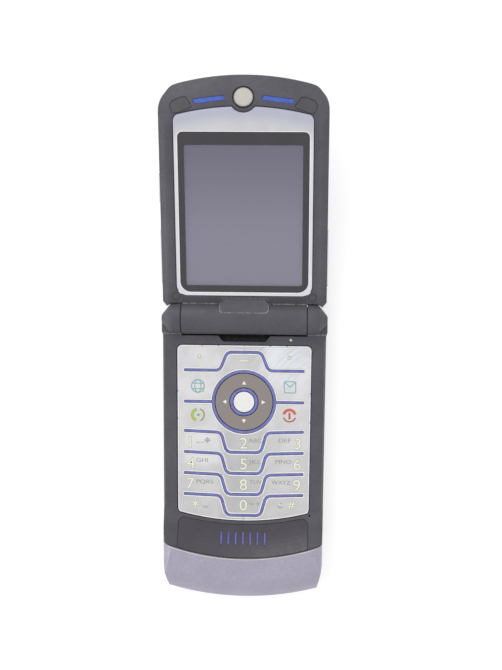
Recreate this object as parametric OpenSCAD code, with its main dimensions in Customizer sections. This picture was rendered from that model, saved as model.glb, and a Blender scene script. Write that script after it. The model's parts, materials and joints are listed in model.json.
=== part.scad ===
// Clamshell mobile phone, lying on its back with its flip fully open.
// Millimetres: +X to the right, +Y from the chin to the flip, +Z up, with the back face at Z = 0.
// The pieces of the flip are drawn where they lie in the closed phone, and turned open about the hinge.
// A distance named ..._d runs from the hinge axis towards the chin, or along the flip to its tip.

/* [Overall] */
// Length of the closed phone
body_l = 98; // [96:0.5:102]
// Width of the housings
body_w = 53; // [52.5:0.5:56]
// How much each side of the base comes in towards the chin
base_taper = 0.45; // [0.1:0.05:0.6]
// Thickness of the closed phone
closed_t = 13.9; // [13.8:0.1:15]
// Thickness of the base at its keypad
base_t = 7.3; // [7.2:0.1:7.8]
// Gap between the closed halves
lid_gap = 0.3; // [0.25:0.05:0.5]
// Angle of the open flip above level
open_rise = 12.7; // [8:0.5:20]

/* [Hinge] */
// Radius of the hinge barrel and its knuckles
hinge_r = 4.9; // [4.7:0.05:5]
// Length of the barrel
barrel_w = 40.4; // [38:0.5:42]
// Gap between the barrel and each knuckle
knuckle_gap = 0.25; // [0.2:0.05:0.4]
// How far each knuckle bulges beyond the side
knuckle_bulge = 0.4; // [0.1:0.1:0.6]
// Gap round the barrel in the base
barrel_gap = 0.55; // [0.4:0.05:0.6]
// Gap between each knuckle and the flip
side_gap = 0.4; // [0.3:0.05:0.5]
// Radius of the hinge pins
pin_r = 1.9; // [1.5:0.1:2.4]
// Running clearance of the pins in their bores
pin_fit = 0.05; // [0.02:0.01:0.08]
// Depth of each pin in its knuckle
pin_seat = 3.8; // [3:0.1:4.2]

/* [Chin and ramp] */
// Length of the chin from its end to its crest
chin_l = 15.05; // [14:0.5:17]
// Height of the crest
crest_h = 13.4; // [13:0.1:13.7]
// Plan radius of the crest
crest_r = 74.4; // [66:1:90]
// Plan radius of the chin's end
chin_end_r = 90; // [80:2:120]
// Length of the ramp from the keypad to the crest
ramp_l = 10.2; // [9.5:0.1:11]
// Rise of the ramp
ramp_h = 5.1; // [4.8:0.1:5.3]
// Slope at the foot of the ramp
ramp_foot = 15; // [12:1:20]
// Gap between the flip's tip and the crest
tip_gap = 0.6; // [0.4:0.1:1]

/* [Shells] */
// Radius along the back edges of the base
back_edge_r = 2.6; // [2:0.2:3]
// Wall of the base at its sides
base_wall = 1.6; // [1.4:0.1:1.8]
// Back wall of the base
back_t = 1.6; // [1.5:0.1:1.7]
// Face of the base round the keypad
face_t = 0.9; // [0.7:0.1:1]
// Height of the seam between the front and rear housings
seam_h = 4.2; // [4:0.1:4.4]
// Rim wall of the flip
flip_wall = 2.2; // [2:0.1:2.6]
// Inner face of the flip
flip_face_t = 1.3; // [1.2:0.1:1.4]
// Thickness of the flip's outer cover
cover_t = 0.9; // [0.8:0.1:1]
// Width of the housing's rim round the outer cover
cover_rim = 0.9; // [0.8:0.1:1.4]
// Fit between pieces that lie side by side
fit = 0.1; // [0.06:0.02:0.14]
// Gap between stacked layers
seat = 0.05; // [0.03:0.01:0.08]

/* [Keypad] */
// Width of the keypad at its top
keypad_w = 43.6; // [42:0.2:45]
// Distance from the hinge axis to the keypad's top edge
keypad_d = 8.65; // [8.2:0.1:9.2]
// Gap between the keys and the housing
keypad_gap = 0.35; // [0.25:0.05:0.4]
// Distance from the keypad's lower edge to the foot of the ramp
keypad_margin = 1.2; // [0.9:0.1:1.6]
// Thickness of the keys
key_t = 0.5; // [0.4:0.05:0.6]
// Travel of the keys
key_travel = 0.25; // [0.15:0.05:0.3]
// Space under the keys
key_float = 0.6; // [0.5:0.05:0.7]
// Width of the blue ribs between the keys
rib_w = 0.8; // [0.6:0.05:0.9]
// Seam between neighbouring key areas
key_seam = 0.1; // [0.06:0.02:0.16]
// Length of the soft keys
soft_l = 8.15; // [7.6:0.05:8.6]
// Radius of the navigation ring
nav_r = 9.3; // [8.6:0.1:9.6]
// Radius of the select button
select_r = 3.35; // [3:0.05:3.6]
// Rocking angle of the navigation ring
nav_tilt = 1.2; // [0.6:0.2:1.2]
// Thickness of the keymat
keymat_t = 0.3; // [0.2:0.05:0.4]
// Thickness of the main board
board_t = 0.8; // [0.6:0.1:1]

/* [Display] */
// Width of the silver bezel
bezel_w = 43.8; // [43:0.2:45]
// Thickness of the silver bezel
bezel_t = 0.5; // [0.4:0.05:0.6]
// Width of the display window
window_w = 40.9; // [40:0.1:41.5]
// Distance from the hinge axis to the window's near edge
window_d = 9.16; // [9:0.1:9.6]
// Length of the bezel beyond the window
brow_l = 8.05; // [7.4:0.1:8.6]
// Thickness of the display window
window_t = 0.8; // [0.7:0.05:0.9]
// Thickness of the main display
lcd_t = 1.6; // [1.4:0.1:1.7]
// Width of the outer display window
outer_window_w = 24; // [20:1:28]
// Length of the outer display window
outer_window_l = 20; // [16:1:24]
// Radius of the camera ring
camera_r = 4; // [3.6:0.1:4.2]
// Radius of the round disc at the tip
disc_r = 2.95; // [2.6:0.05:3.1]
// Distance from the crest to the middle of the disc, in the closed phone
disc_inset = 6.8; // [6.4:0.1:7.4]

/* [Battery] */
// Width of the battery
battery_w = 36; // [34:0.5:37]
// Length of the battery
battery_l = 40; // [38:0.5:41]
// Thickness of the battery
battery_t = 3.3; // [3:0.1:3.4]
// Width of the battery door
door_w = 46.4; // [45:0.2:47]
// Distance from the hinge axis to the battery door
door_d = 25; // [24.6:0.2:26]
// Thickness of the battery door
door_t = 0.8; // [0.7:0.05:0.9]
// Travel of the door latch
latch_travel = 1; // [0.6:0.1:1.2]

/* [Hidden] */
$fn = 64;
housing_c = [0.36, 0.35, 0.37];
metal_c = [0.63, 0.61, 0.68];
silver_c = [0.83, 0.83, 0.85];
blue_c = [0.36, 0.40, 0.78];
slot_blue_c = [0.20, 0.34, 0.85];
nav_c = [0.56, 0.53, 0.51];
glass_c = [0.20, 0.20, 0.22];
screen_c = [0.47, 0.46, 0.53];
rubber_c = [0.24, 0.24, 0.25];
board_c = [0.10, 0.36, 0.20];
steel_c = [0.72, 0.72, 0.74];
battery_c = [0.25, 0.26, 0.30];
white_c = [0.95, 0.95, 0.95];

far = 200;                                  // longer than anything here
hw = body_w / 2;
end_y = -body_l / 2;
hinge_y = body_l / 2 - hinge_r;
hinge_z = base_t + lid_gap / 2;
crest_y = end_y + chin_l;
crest_cy = crest_y + crest_r;               // centre of the crest's arc
end_cy = end_y + chin_end_r;                // centre of the chin's end arc
crest_d = hinge_y - crest_y;
ramp_d = crest_d - ramp_l;                  // foot of the ramp, on the centre line
flip_z = base_t + lid_gap;                  // inner face of the closed flip
side_d = hinge_r + side_gap;                // where the flip's inner face starts beside the knuckles
hinge_block = hinge_r + 3.2;                // the front housing reaches the back over this distance
base_end_d = 1.5;                           // where the base ends below the barrel
cavity_hw = hw - base_wall;
cavity_d = hinge_block + 1.3;
cavity_end_d = ramp_d - 3.8;
ramp_cavity_hw = 19.7;
ramp_cavity_end_d = crest_d - 1.7;

// ---------- outlines ----------

function y_at(d) = hinge_y - d;

// The arc that rounds corner b, between a and c, to radius r
function corner_arc(a, b, c, r, n) = r <= 0 ? [b] :
    let (u = (a - b) / norm(a - b), v = (c - b) / norm(c - b), half = acos(u * v) / 2,
         m = b + (u + v) / norm(u + v) * r / sin(half),
         p = b + u * r / tan(half) - m, q = b + v * r / tan(half) - m,
         start = atan2(p[1], p[0]), turn = (atan2(q[1], q[0]) - start + 540) % 360 - 180)
    [for (k = [0:n]) m + r * [cos(start + turn * k / n), sin(start + turn * k / n)]];

function xy(p) = [p[0], p[1]];

// A closed outline of [x, y, corner radius] points, with its corners rounded
function rounded(pts, n = 8) = let (m = len(pts))
    [for (i = [0:m - 1])
        each corner_arc(xy(pts[(i + m - 1) % m]), xy(pts[i]), xy(pts[(i + 1) % m]), pts[i][2], n)];

// An open path of [x, y, corner radius] points, with its inner corners rounded
function rounded_path(pts, n = 6) = let (m = len(pts))
    [for (i = [0:m - 1])
        each i == 0 || i == m - 1 ? [xy(pts[i])]
            : corner_arc(xy(pts[i - 1]), xy(pts[i]), xy(pts[i + 1]), pts[i][2], n)];

// The right half of an outline, from top to bottom, with its mirror image
function both_sides(right) = concat(right,
    [for (i = [len(right) - 1:-1:0]) if (right[i][0] > 0) [-right[i][0], right[i][1], right[i][2]]]);

function normal(a, b) = let (t = (b - a) / norm(b - a)) [t[1], -t[0]];

// A clockwise or anticlockwise outline of [x, y, radius] points, moved outwards by g
function grown(pts, g) = let (m = len(pts), w = sign(turning(pts)))
    [for (i = [0:m - 1])
        let (a = xy(pts[(i + m - 1) % m]), b = xy(pts[i]), c = xy(pts[(i + 1) % m]),
             p = normal(a, b), q = normal(b, c), s = b + (p + q) / (1 + p * q) * g * w)
        [s[0], s[1], pts[i][2] > 0 ? max(0.05, pts[i][2] + g) : 0]];

function turning(pts) = let (m = len(pts))
    [for (i = 0, s = 0; i <= m; s = s + (i < m ? pts[i][0] * pts[(i + 1) % m][1]
        - pts[(i + 1) % m][0] * pts[i][1] : 0), i = i + 1) s][m];

// A band of the given half width along a path
function band(path, half) = let (m = len(path),
    side = [for (i = [0:m - 1]) normal(path[max(i - 1, 0)], path[min(i + 1, m - 1)]) * half])
    concat([for (i = [0:m - 1]) path[i] + side[i]], [for (i = [m - 1:-1:0]) path[i] - side[i]]);

// A rectangle with rounded corners, from x0 to x1 and from distance d0 to d1
function panel(x0, x1, d0, d1, r_near, r_far) =
    [[x0, y_at(d0), r_near], [x1, y_at(d0), r_near], [x1, y_at(d1), r_far], [x0, y_at(d1), r_far]];

// ---------- building blocks ----------

// Children on both sides of the middle
module pair() for (side = [0, 1]) mirror([side, 0, 0]) children();

module slab(z0, z1) translate([0, 0, z0]) linear_extrude(z1 - z0) children();

module along_y(y0, y1) translate([0, y1, 0]) rotate([90, 0, 0]) linear_extrude(y1 - y0) children();

module along_x(x0, x1) translate([x0, 0, 0]) rotate([90, 0, 90]) linear_extrude(x1 - x0) children();

module x_cylinder(r, x0, x1) translate([x0, hinge_y, hinge_z]) rotate([0, 90, 0])
    cylinder(r = r, h = x1 - x0);

module box(x0, x1, d0, d1, z0, z1) translate([x0, y_at(d1), z0]) cube([x1 - x0, d1 - d0, z1 - z0]);

// A box of width w across the middle
module mid_box(w, d0, d1, z0, z1) box(-w / 2, w / 2, d0, d1, z0, z1);

module post(x, d, r, z0, z1) translate([x, y_at(d), z0]) cylinder(r = r, h = z1 - z0);

module crest_turn() translate([0, crest_cy, 0]) rotate_extrude($fn = 180) children();

// The flip's pieces, turned from closed to fully open
module opened() translate([0, hinge_y, hinge_z]) rotate([open_rise - 180, 0, 0])
    translate([0, -hinge_y, -hinge_z]) children();

// ---------- the ramp, shared by the base and the flip ----------

ramp_head = 2 * atan(ramp_h / ramp_l) - ramp_foot;
ramp_r = ramp_l / (sin(ramp_head) - sin(ramp_foot));

// The front surface as [distance from the crest's centre, height], lifted by t
function ramp_line(t, n = 8) = [for (i = [0:n]) let (a = ramp_foot + (ramp_head - ramp_foot) * i / n)
    [crest_r - ramp_l + ramp_r * (sin(a) - sin(ramp_foot)),
     base_t + t + ramp_r * (cos(ramp_foot) - cos(a))]];

function ramp_angle(d) = asin(sin(ramp_foot) + max(0, d - ramp_d) / ramp_r);
function ramp_rise(d) = ramp_r * (cos(ramp_foot) - cos(ramp_angle(d)));

// All that lies above the front surface lifted by t
module above(t) crest_turn()
    polygon(concat([[0, base_t + t]], ramp_line(t), [[crest_r, far], [0, far]]));

// All that lies below the front surface lifted by t
module below(t) crest_turn()
    polygon(concat([[0, -1], [0, base_t + t]], ramp_line(t), [[crest_r, -1]]));

// The layer between the front surface lifted by t0 and by t1
module layer(t0, t1) crest_turn() polygon(concat([[0, base_t + t0]], ramp_line(t0),
    [for (i = [8:-1:0]) ramp_line(t1)[i]], [[0, base_t + t1]]));

// ---------- outer form of the base ----------

end_lean = 0.9;                             // how far the chin's end leans in towards its top
chin_profile = let (r = chin_end_r) rounded([[0, 0, 0], [r - 3.2, 0, 5], [r, 4.4, 2.6],
    [r - end_lean, 7.6, 3], [r - 5, crest_h - 1.4, 12], [r - chin_l, crest_h, 0], [0, crest_h, 0]]);

base_side = rounded([[end_y - 1, 0, 0], [hinge_y + base_end_d, 0, 7], [hinge_y + 3, base_t, 0],
    [hinge_y + 3, closed_t, 0], [end_y - 1, closed_t, 0]]);

// Section across the right half of the base
half_section = rounded([[-hw - 5, crest_h, 0], [hw, crest_h, 4], [hw, 0, back_edge_r], [-hw - 5, 0, 0]]);

cheek_d = 5.4;                              // where the swell under the knuckles ends
cheek_slope = 1.2;                          // length of the slope at the swell's end
cheek_end_d = cheek_d + 2;                  // the slope runs on into the side of the base
chin_hw = hw - base_taper;
corner_l = 12;                              // from the chin's end to where its corners start to turn in
taper_angle = atan(base_taper / (body_l - hinge_r - cheek_d - corner_l));

// Plan that rounds the chin's corners, and stands clear of the sides elsewhere
base_plan = rounded(both_sides([[hw + 1, y_at(base_end_d / 2), 0], [chin_hw + 0.05, end_y + corner_l, 25],
    [chin_hw - 1.9, end_y + 3.3, 2.2], [12, end_y - 0.5, 0], [0, end_y - 1, 0]]));

// Plan of the right-hand swell under a knuckle
cheek_plan = rounded([[barrel_w / 2, hinge_y + 5, 0], [hw + knuckle_bulge - 2.9, hinge_y + 5, 0],
    [hw + knuckle_bulge, hinge_y + 0.4, 4.5], [hw + knuckle_bulge, y_at(cheek_d - cheek_slope), 1.2],
    [hw - knuckle_bulge * (cheek_end_d - cheek_d) / cheek_slope, y_at(cheek_end_d), 0],
    [barrel_w / 2, y_at(cheek_end_d), 0]]);

// Children drawn for the right-hand side, turned to follow its taper
module tapered() translate([hw, y_at(cheek_d), 0]) rotate([0, 0, -taper_angle])
    translate([-hw, -y_at(cheek_d), 0]) children();

module half_block() tapered() along_y(end_y - 5, hinge_y + 2 * hinge_r) polygon(half_section);

module base_block() intersection() {
    translate([0, end_cy, 0]) rotate_extrude($fn = 180) polygon(chin_profile);
    along_x(-hw - 1, hw + 1) polygon(base_side);
    half_block();
    mirror([1, 0, 0]) half_block();
    slab(-1, closed_t + 1) polygon(base_plan);
}

edge_cut = 0.6;                             // chamfer along the front edges of the base

module front_edges() pair() tapered()
    along_y(y_at(ramp_d - 5.5), hinge_y + hinge_r) polygon([[hw - edge_cut, base_t],
        [hw + 1, base_t], [hw + 1, base_t - edge_cut - 1]]);

module barrel_space() {
    half = barrel_w / 2 + knuckle_gap;
    x_cylinder(hinge_r + barrel_gap, -half, half);
    box(-half, half, -far, base_end_d, -1, far);
}

// The base below its front surface, up to the chin
module base_body() difference() {
    base_block();
    above(0);
    front_edges();
    barrel_space();
}

module chin_side(g) translate([0, crest_cy, -1]) cylinder(r = crest_r + g, h = far, $fn = 180);

module hinge_zone(g) box(-far, far, -far, hinge_block + g, -1, far);

// The room inside both base housings
module base_room() {
    along_y(y_at(cavity_end_d), y_at(cavity_d))
        polygon(rounded(both_sides([[cavity_hw, base_t - face_t, 0], [cavity_hw, back_t, 1]])));
    intersection() {
        box(-ramp_cavity_hw, ramp_cavity_hw, cavity_end_d - 1, ramp_cavity_end_d, back_t, crest_h);
        below(-panel_t - face_t);
    }
    mid_box(2 * (board_hw + fit), cavity_end_d - 1, board_end_d + fit, board_z - seat,
        board_z + board_t + seat);
}

screw_x = 21.8;
screw_ds = [door_d - 2.7, crest_d - 6.85];  // the near pair shows, the far pair is under the door
screw_head_r = 1.5;
screw_head_t = 1;
screw_r = 0.8;
boss_r = 2.1;

module at_screws() for (side = [-1, 1], d = screw_ds) translate([side * screw_x, y_at(d), 0]) children();

socket_d = 15;
socket_w = 7.8;
socket_t = 3.8;
socket_z = back_t + 0.15;
socket_depth = 7.5;

// A bar along the socket's axis, x0 to x1 from the side face, set in from its outline by g
module socket_bar(x0, x1, g) box(-hw + x0, -hw + x1, socket_d - socket_w / 2 + g, socket_d + socket_w / 2 - g,
    socket_z + g, socket_z + socket_t - g);

module socket_mouth() socket_bar(-1, socket_depth, -fit);

// ---------- keypad outlines ----------

line_end_x = 19.2;
knee_x = 7.45;
dip_x = 5.6;
top_knee_x = 7.95;
top_dip_x = 5.5;
line_r = 2.1;
line_end_swell = 0.01;                      // the round ends of the grooves stand out from them by this much
knee_drop = 0.45;
top_rise = 6;                               // how far the first groove rises to clear the menu key
foot_l = 1.7;                               // from the last groove to the keypad's lower edge
keypad_low_r = 81;                          // plan radius of the keypad's lower edge
keypad_taper = 0.35;
groove_w = rib_w + 2 * fit;
ring_w = 0.85;                              // width of the blue rings round the navigation keys
ring_fit = 0.3;                             // running gap round the navigation ring
nav_groove_r = nav_r + ring_fit + ring_w + fit;
select_fit = 0.3;
select_ring_w = 0.85;
nav_hole_r = select_r + select_fit + select_ring_w + select_fit;
keypad_end_d = ramp_d - keypad_margin;
top_line_d = keypad_d + soft_l;
nav_d = top_line_d + nav_groove_r - 0.2;    // the ring almost touches the first groove and the first row
row_d = nav_d + nav_groove_r - 0.85;
row_pitch = (keypad_end_d - foot_l - row_d) / 4;
dip_drop = row_pitch;

keypad_corners = both_sides([[keypad_w / 2, y_at(keypad_d), 1.5],
    [keypad_w / 2 - keypad_taper, y_at(keypad_end_d - 2), 2.6], [0, y_at(keypad_end_d + 1), 0]]);

module keypad_outline(g) intersection() {
    polygon(rounded(grown(keypad_corners, g)));
    translate([0, y_at(keypad_end_d) + keypad_low_r]) circle(r = keypad_low_r + g, $fn = 180);
}

// The path of a groove that steps from outer to inner between its knees at kx and dx
function stepped(kx, dx, outer, knee, inner) = [[line_end_x, y_at(outer), 0], [kx, y_at(knee), line_r],
    [dx, y_at(inner), line_r], [-dx, y_at(inner), line_r], [-kx, y_at(knee), line_r],
    [-line_end_x, y_at(outer), 0]];

function row_at(i) = row_d + i * row_pitch;
top_line = stepped(top_knee_x, top_dip_x, top_line_d, top_line_d, top_line_d - top_rise);
row_lines = [for (i = [0:3]) stepped(knee_x, dip_x, row_at(i), row_at(i) + knee_drop, row_at(i) + dip_drop)];
side_lines = [for (s = [-1, 1])
    [[s * line_end_x, y_at(nav_d), 0], [s * (nav_r + ring_fit + ring_w / 2), y_at(nav_d), 0]]];
key_lines = concat([top_line], row_lines, side_lines);

module line_bands(w) for (line = key_lines) {
    polygon(band(rounded_path(line), w / 2));
    for (p = [line[0], line[len(line) - 1]]) translate(xy(p)) circle(r = w / 2 + line_end_swell);
}

// The seams between neighbouring key areas, where no groove parts them
nav_c_xy = [0, y_at(nav_d)];
row_seams = [for (i = [0:2], s = [-1, 1])
    [[s * dip_x, y_at(row_at(i) + dip_drop)], [s * knee_x, y_at(row_at(i + 1) + knee_drop)]]];
knee_seams = [for (s = [-1, 1], p = [[top_knee_x, top_line_d], [knee_x, row_at(0) + knee_drop]])
    [[s * p[0], y_at(p[1])], nav_c_xy]];
edge_seams = [for (s = [-1, 1], d = concat([top_line_d, nav_d], [for (i = [0:3]) row_at(i)]))
    [[s * line_end_x, y_at(d)], [s * hw, y_at(d)]]];
end_seams = [[[0, y_at(keypad_d - 1)], [0, y_at(top_line_d - top_rise)]],
    [[0, y_at(row_at(3) + dip_drop)], [0, y_at(keypad_end_d + 1)]]];
seams = concat(row_seams, knee_seams, edge_seams, end_seams);

module keypad_cuts() {
    line_bands(groove_w);
    for (s = seams) polygon(band(s, key_seam / 2));
    translate(nav_c_xy) circle(r = nav_groove_r);
}

// Each key area as its name and a cell, whose edges follow the grooves and seams, in [x, distance]
function left(cell) = [for (p = cell) [-p[0], p[1]]];
soft_cell = [[0, 0], [hw, 0], [hw, top_line_d], [top_knee_x, top_line_d],
    [top_dip_x, top_line_d - top_rise], [0, top_line_d - top_rise]];
upper_cell = [[top_knee_x, top_line_d], [hw, top_line_d], [hw, nav_d], [0, nav_d]];
lower_cell = [[0, nav_d], [hw, nav_d], [hw, row_at(0)], [line_end_x, row_at(0)],
    [knee_x, row_at(0) + knee_drop]];
menu_cell = [[top_dip_x, top_line_d - top_rise], [top_knee_x, top_line_d], [0, nav_d],
    [-top_knee_x, top_line_d], [-top_dip_x, top_line_d - top_rise]];
function side_cell(i) = [[knee_x, row_at(i) + knee_drop], [line_end_x, row_at(i)], [hw, row_at(i)],
    [hw, row_at(i + 1)], [line_end_x, row_at(i + 1)], [knee_x, row_at(i + 1) + knee_drop],
    [dip_x, row_at(i) + dip_drop]];
function middle_cell(i) = [[dip_x, row_at(i) + dip_drop], [-dip_x, row_at(i) + dip_drop],
    [-knee_x, row_at(i + 1) + knee_drop], [-dip_x, row_at(i + 1) + dip_drop],
    [dip_x, row_at(i + 1) + dip_drop], [knee_x, row_at(i + 1) + knee_drop]];
two_cell = [[0, nav_d], [knee_x, row_at(0) + knee_drop], [dip_x, row_at(0) + dip_drop],
    [-dip_x, row_at(0) + dip_drop], [-knee_x, row_at(0) + knee_drop]];
last_cell = [[0, row_at(3) + dip_drop], [dip_x, row_at(3) + dip_drop], [knee_x, row_at(3) + knee_drop],
    [line_end_x, row_at(3)], [hw, row_at(3)], [hw, keypad_end_d + 5], [0, keypad_end_d + 5]];

KEYS = [["key_left_soft", left(soft_cell)], ["key_right_soft", soft_cell], ["key_menu", menu_cell],
    ["key_browser", left(upper_cell)], ["key_message", upper_cell],
    ["key_send", left(lower_cell)], ["key_end", lower_cell], ["key_2", two_cell],
    ["key_1", left(side_cell(0))], ["key_3", side_cell(0)], ["key_5", middle_cell(0)],
    ["key_4", left(side_cell(1))], ["key_6", side_cell(1)], ["key_8", middle_cell(1)],
    ["key_7", left(side_cell(2))], ["key_9", side_cell(2)], ["key_0", middle_cell(2)],
    ["key_star", left(last_cell)], ["key_hash", last_cell]];

// The layers under the keys, from the top down
key_z = base_t - key_t;
keymat_z = key_z - key_float - keymat_t;
rib_top = base_t - 0.15;
dome_t = 0.1;
dome_h = 0.1;
dome_r = 2.2;
dome_z = keymat_z - seat - dome_h - dome_t;
board_z = dome_z - seat - board_t;
board_hw = ramp_cavity_hw - 2 * fit;
board_end_d = ramp_cavity_end_d - 0.9;
keymat_edge = 1;                            // how far the keymat reaches under the housing
nav_plate_t = 0.17;
nav_rock = nav_r * sin(nav_tilt) + seat;     // room for the ring's rim to rock
nav_plate_z = key_z - key_float + nav_rock;
nav_ring_t = 0.4;
nav_ring_z = nav_plate_z + nav_plate_t + nav_rock;

// The middle of each key area, where its dome lies, in [x, distance]
side_key_x = 14.5;
dome_ring_r = (nav_r + nav_hole_r) / 2;
upper_ds = [keypad_d + soft_l / 2, nav_d - nav_r / 2, nav_d + nav_r / 2];
key_centres = concat(
    [for (s = [-1, 1], d = upper_ds) [s * side_key_x, d]],
    [[0, top_line_d - top_rise / 2]],
    [for (i = [0:3]) [0, row_at(i) + dip_drop / 2]],
    [for (s = [-1, 1], i = [0:3]) [s * side_key_x, row_at(i) + row_pitch / 2]],
    [[0, nav_d]],
    [for (a = [0:90:270]) [dome_ring_r * cos(a), nav_d + dome_ring_r * sin(a)]]);

// ---------- base ----------

recess_d = 7.35;                            // end of the recess that takes the closed flip's heel
heel_d = 6.9;                               // end of the heel
heel_hw = 8.7;
heel_top_hw = 7.3;
heel_taper = 2.1;
heel_room = 0.4;                            // gap beside the heel in its recess

// Side view of the heel: a ramp from the barrel to the flip's inner face, as [distance, height]
heel = [[0, flip_z + 1], [0, hinge_z], [3, hinge_z - 3.9], [5.5, hinge_z - 1.5], [heel_d, flip_z],
    [heel_d, flip_z + 1]];

// A block that narrows towards its far edge, in plan
function heel_plan(hx, d1) = rounded(both_sides([[hx, y_at(2), 0], [hx, y_at(4.5), 1],
    [hx - heel_taper, y_at(d1), 1.4]]), 5);

module heel_block() intersection() {
    slab(0, far) polygon(heel_plan(heel_hw, heel_d));
    along_x(-heel_hw, heel_hw) polygon([for (p = heel) [y_at(p[0]), p[1]]]);
    along_y(y_at(heel_d), hinge_y) polygon([[-heel_hw, flip_z + 1], [-heel_hw, flip_z],
        [-heel_top_hw, hinge_z - hinge_r], [heel_top_hw, hinge_z - hinge_r], [heel_hw, flip_z],
        [heel_hw, flip_z + 1]]);
}

module heel_recess() intersection() {
    slab(0, far) polygon(heel_plan(heel_hw + heel_room, recess_d));
    along_x(-hw, hw) polygon([for (p = [[2, -4.7], [4.6, -3.5], [6.3, -1.5], [recess_d + 0.1, -0.8],
        [recess_d + 0.1, 3], [2, 3]]) [y_at(p[0]), hinge_z + p[1]]]);
}

pin_end = barrel_w / 2 + knuckle_gap + pin_seat;
knuckle_end = hw + knuckle_bulge - barrel_w / 2;
knuckle_slope = 3;                          // length of the knuckle's sloping shoulder
knuckle_face_r = 1.2;

// Profile of a knuckle as [radius, distance from the barrel's end], grown by g
function knuckle_profile(g) = rounded([[0, knuckle_gap - g, 0], [hinge_r + g, knuckle_gap - g, 0.3],
    [hinge_r + g, knuckle_end - knuckle_slope + g / 2, 2.5],
    [knuckle_face_r + g / 3, knuckle_end + g, 1.5], [0, knuckle_end + g, 0]]);

module knuckle(g) translate([barrel_w / 2, hinge_y, hinge_z]) rotate([0, 90, 0])
    rotate_extrude() polygon(knuckle_profile(g));

// The swell of the base's side under a knuckle
module cheek() intersection() {
    along_y(y_at(cheek_end_d + 1), hinge_y + hinge_r)
        polygon(rounded([[barrel_w / 2 + knuckle_gap, base_t, 0], [hw + knuckle_bulge, base_t, 0],
            [hw + knuckle_bulge, 0, back_edge_r], [barrel_w / 2 + knuckle_gap, 0, 0]]));
    along_x(0, hw + 1) polygon(base_side);
    slab(-1, far) polygon(cheek_plan);
}

spigot_r = 4.2;                             // spigots on the barrel's ends run in the knuckles
spigot_fit = 0.2;
spigot_l = 0.3;                             // reach of each spigot into its knuckle
spigot_end = barrel_w / 2 + knuckle_gap + spigot_l;

led_x = 15.1;
led_d = 6.65;
mic_port_r = 0.32;
panel_hw = 21.3;
panel_d = ramp_d + 0.25;
panel_r = 84;                               // plan radius of the panel's near edge
panel_t = 0.9;
panel_seam = 0.12;

function panel_near(x) = y_at(panel_d) + panel_r - sqrt(panel_r * panel_r - x * x);
panel_steps = 8;
panel_corners = both_sides(concat(
    [for (i = [0:panel_steps]) let (x = (panel_hw - 3) * i / panel_steps) [x, panel_near(x), 0]],
    [[panel_hw, panel_near(panel_hw), 1.9], [panel_hw, y_at(crest_d + 2), 0]]));

// Outline of the chin panel, grown by g
module panel_outline(g) intersection() {
    polygon(rounded(grown(panel_corners, g)));
    translate([0, crest_cy]) circle(r = crest_r - panel_seam + g, $fn = 180);
}

module front_housing() color(housing_c) difference() {
    union() {
        difference() {
            intersection() {
                base_body();
                chin_side(-fit / 2);
                union() {
                    box(-far, far, -far, far, seam_h, far);
                    hinge_zone(0);
                }
            }
            base_room();
        }
        pair() {
            knuckle(0);
            cheek();
        }
        pair() box(screw_x - boss_r, cavity_hw + 0.2, screw_ds[0] - boss_r, screw_ds[0] + boss_r,
            seam_h, keymat_z - seat);
    }
    slab(board_z, far) keypad_outline(keypad_gap);
    slab(key_z - key_float - keymat_t - seat, base_t - face_t) keypad_outline(keymat_edge + fit);
    intersection() {
        layer(-panel_t - seat, 1);
        slab(0, far) panel_outline(panel_seam);
    }
    heel_recess();
    post(led_x, led_d, 0.5, base_t - 1, far);
    post(keypad_w / 2, keypad_end_d - 1.95, mic_port_r, base_t - 1.2, far);
    pair() {
        x_cylinder(pin_r + pin_fit, barrel_w / 2, pin_end + fit);
        x_cylinder(spigot_r + spigot_fit, barrel_w / 2, spigot_end + knuckle_gap);
    }
    at_screws() cylinder(r = screw_r + seat, h = keymat_z - 0.6);
    socket_mouth();
}

loudspeaker_x = 12;
loudspeaker_d = 17;
loudspeaker_r = 5.5;
latch_w = 10;
latch_l = 3.4;
latch_d = door_d - 0.7;                     // edge of the latch nearest the door
bay_wall = 1;

module door_outline(g, end) intersection() {
    polygon(rounded(panel(-door_w / 2 - g, door_w / 2 + g, door_d - g, crest_d + 5, 2.5, 0)));
    translate([0, crest_cy]) circle(r = crest_r + end, $fn = 180);
}

battery_d = door_d + 3;
battery_z = door_t + 0.15;

module battery_bay(g) mid_box(battery_w + 2 * g, battery_d - g, battery_d + battery_l + g, -1, far);

module rear_housing() color(housing_c) difference() {
    union() {
        difference() {
            intersection() {
                base_body();
                chin_side(-fit / 2);
                box(-far, far, hinge_block + fit, far, -1, seam_h - seat);
            }
            base_room();
            box(-cavity_hw, cavity_hw, cavity_end_d - 1, ramp_cavity_end_d - 4.4, back_t, far);
        }
        intersection() {
            difference() {
                battery_bay(fit + bay_wall);
                battery_bay(fit);
            }
            slab(back_t - 0.5, min(seam_h, board_z) - seat) square(far, center = true);
        }
        at_screws() translate([0, 0, door_t + 0.3]) cylinder(r = boss_r, h = seam_h - seat - door_t - 0.3);
    }
    slab(-1, door_t + seat) door_outline(fit, 1);
    intersection() {
        battery_bay(fit);
        slab(-1, back_t + 0.5) square(far, center = true);
    }
    mid_box(latch_w + 2 * fit, latch_d - latch_l - latch_travel - fit, latch_d + fit, -1, door_t + seat);
    for (i = [-2:2]) box(loudspeaker_x + i * 2.2 - 0.5, loudspeaker_x + i * 2.2 + 0.5, loudspeaker_d - 3.5,
        loudspeaker_d + 3.5, -1, back_t + 1);
    at_screws() {
        translate([0, 0, -1]) cylinder(r = screw_r + 2 * seat, h = far);
        translate([0, 0, -1]) cylinder(r = screw_head_r + fit, h = 1 + door_t + 0.1 + screw_head_t);
    }
    socket_mouth();
}

chin_wall = 1.3;
chin_room_hw = 21.5;

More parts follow.
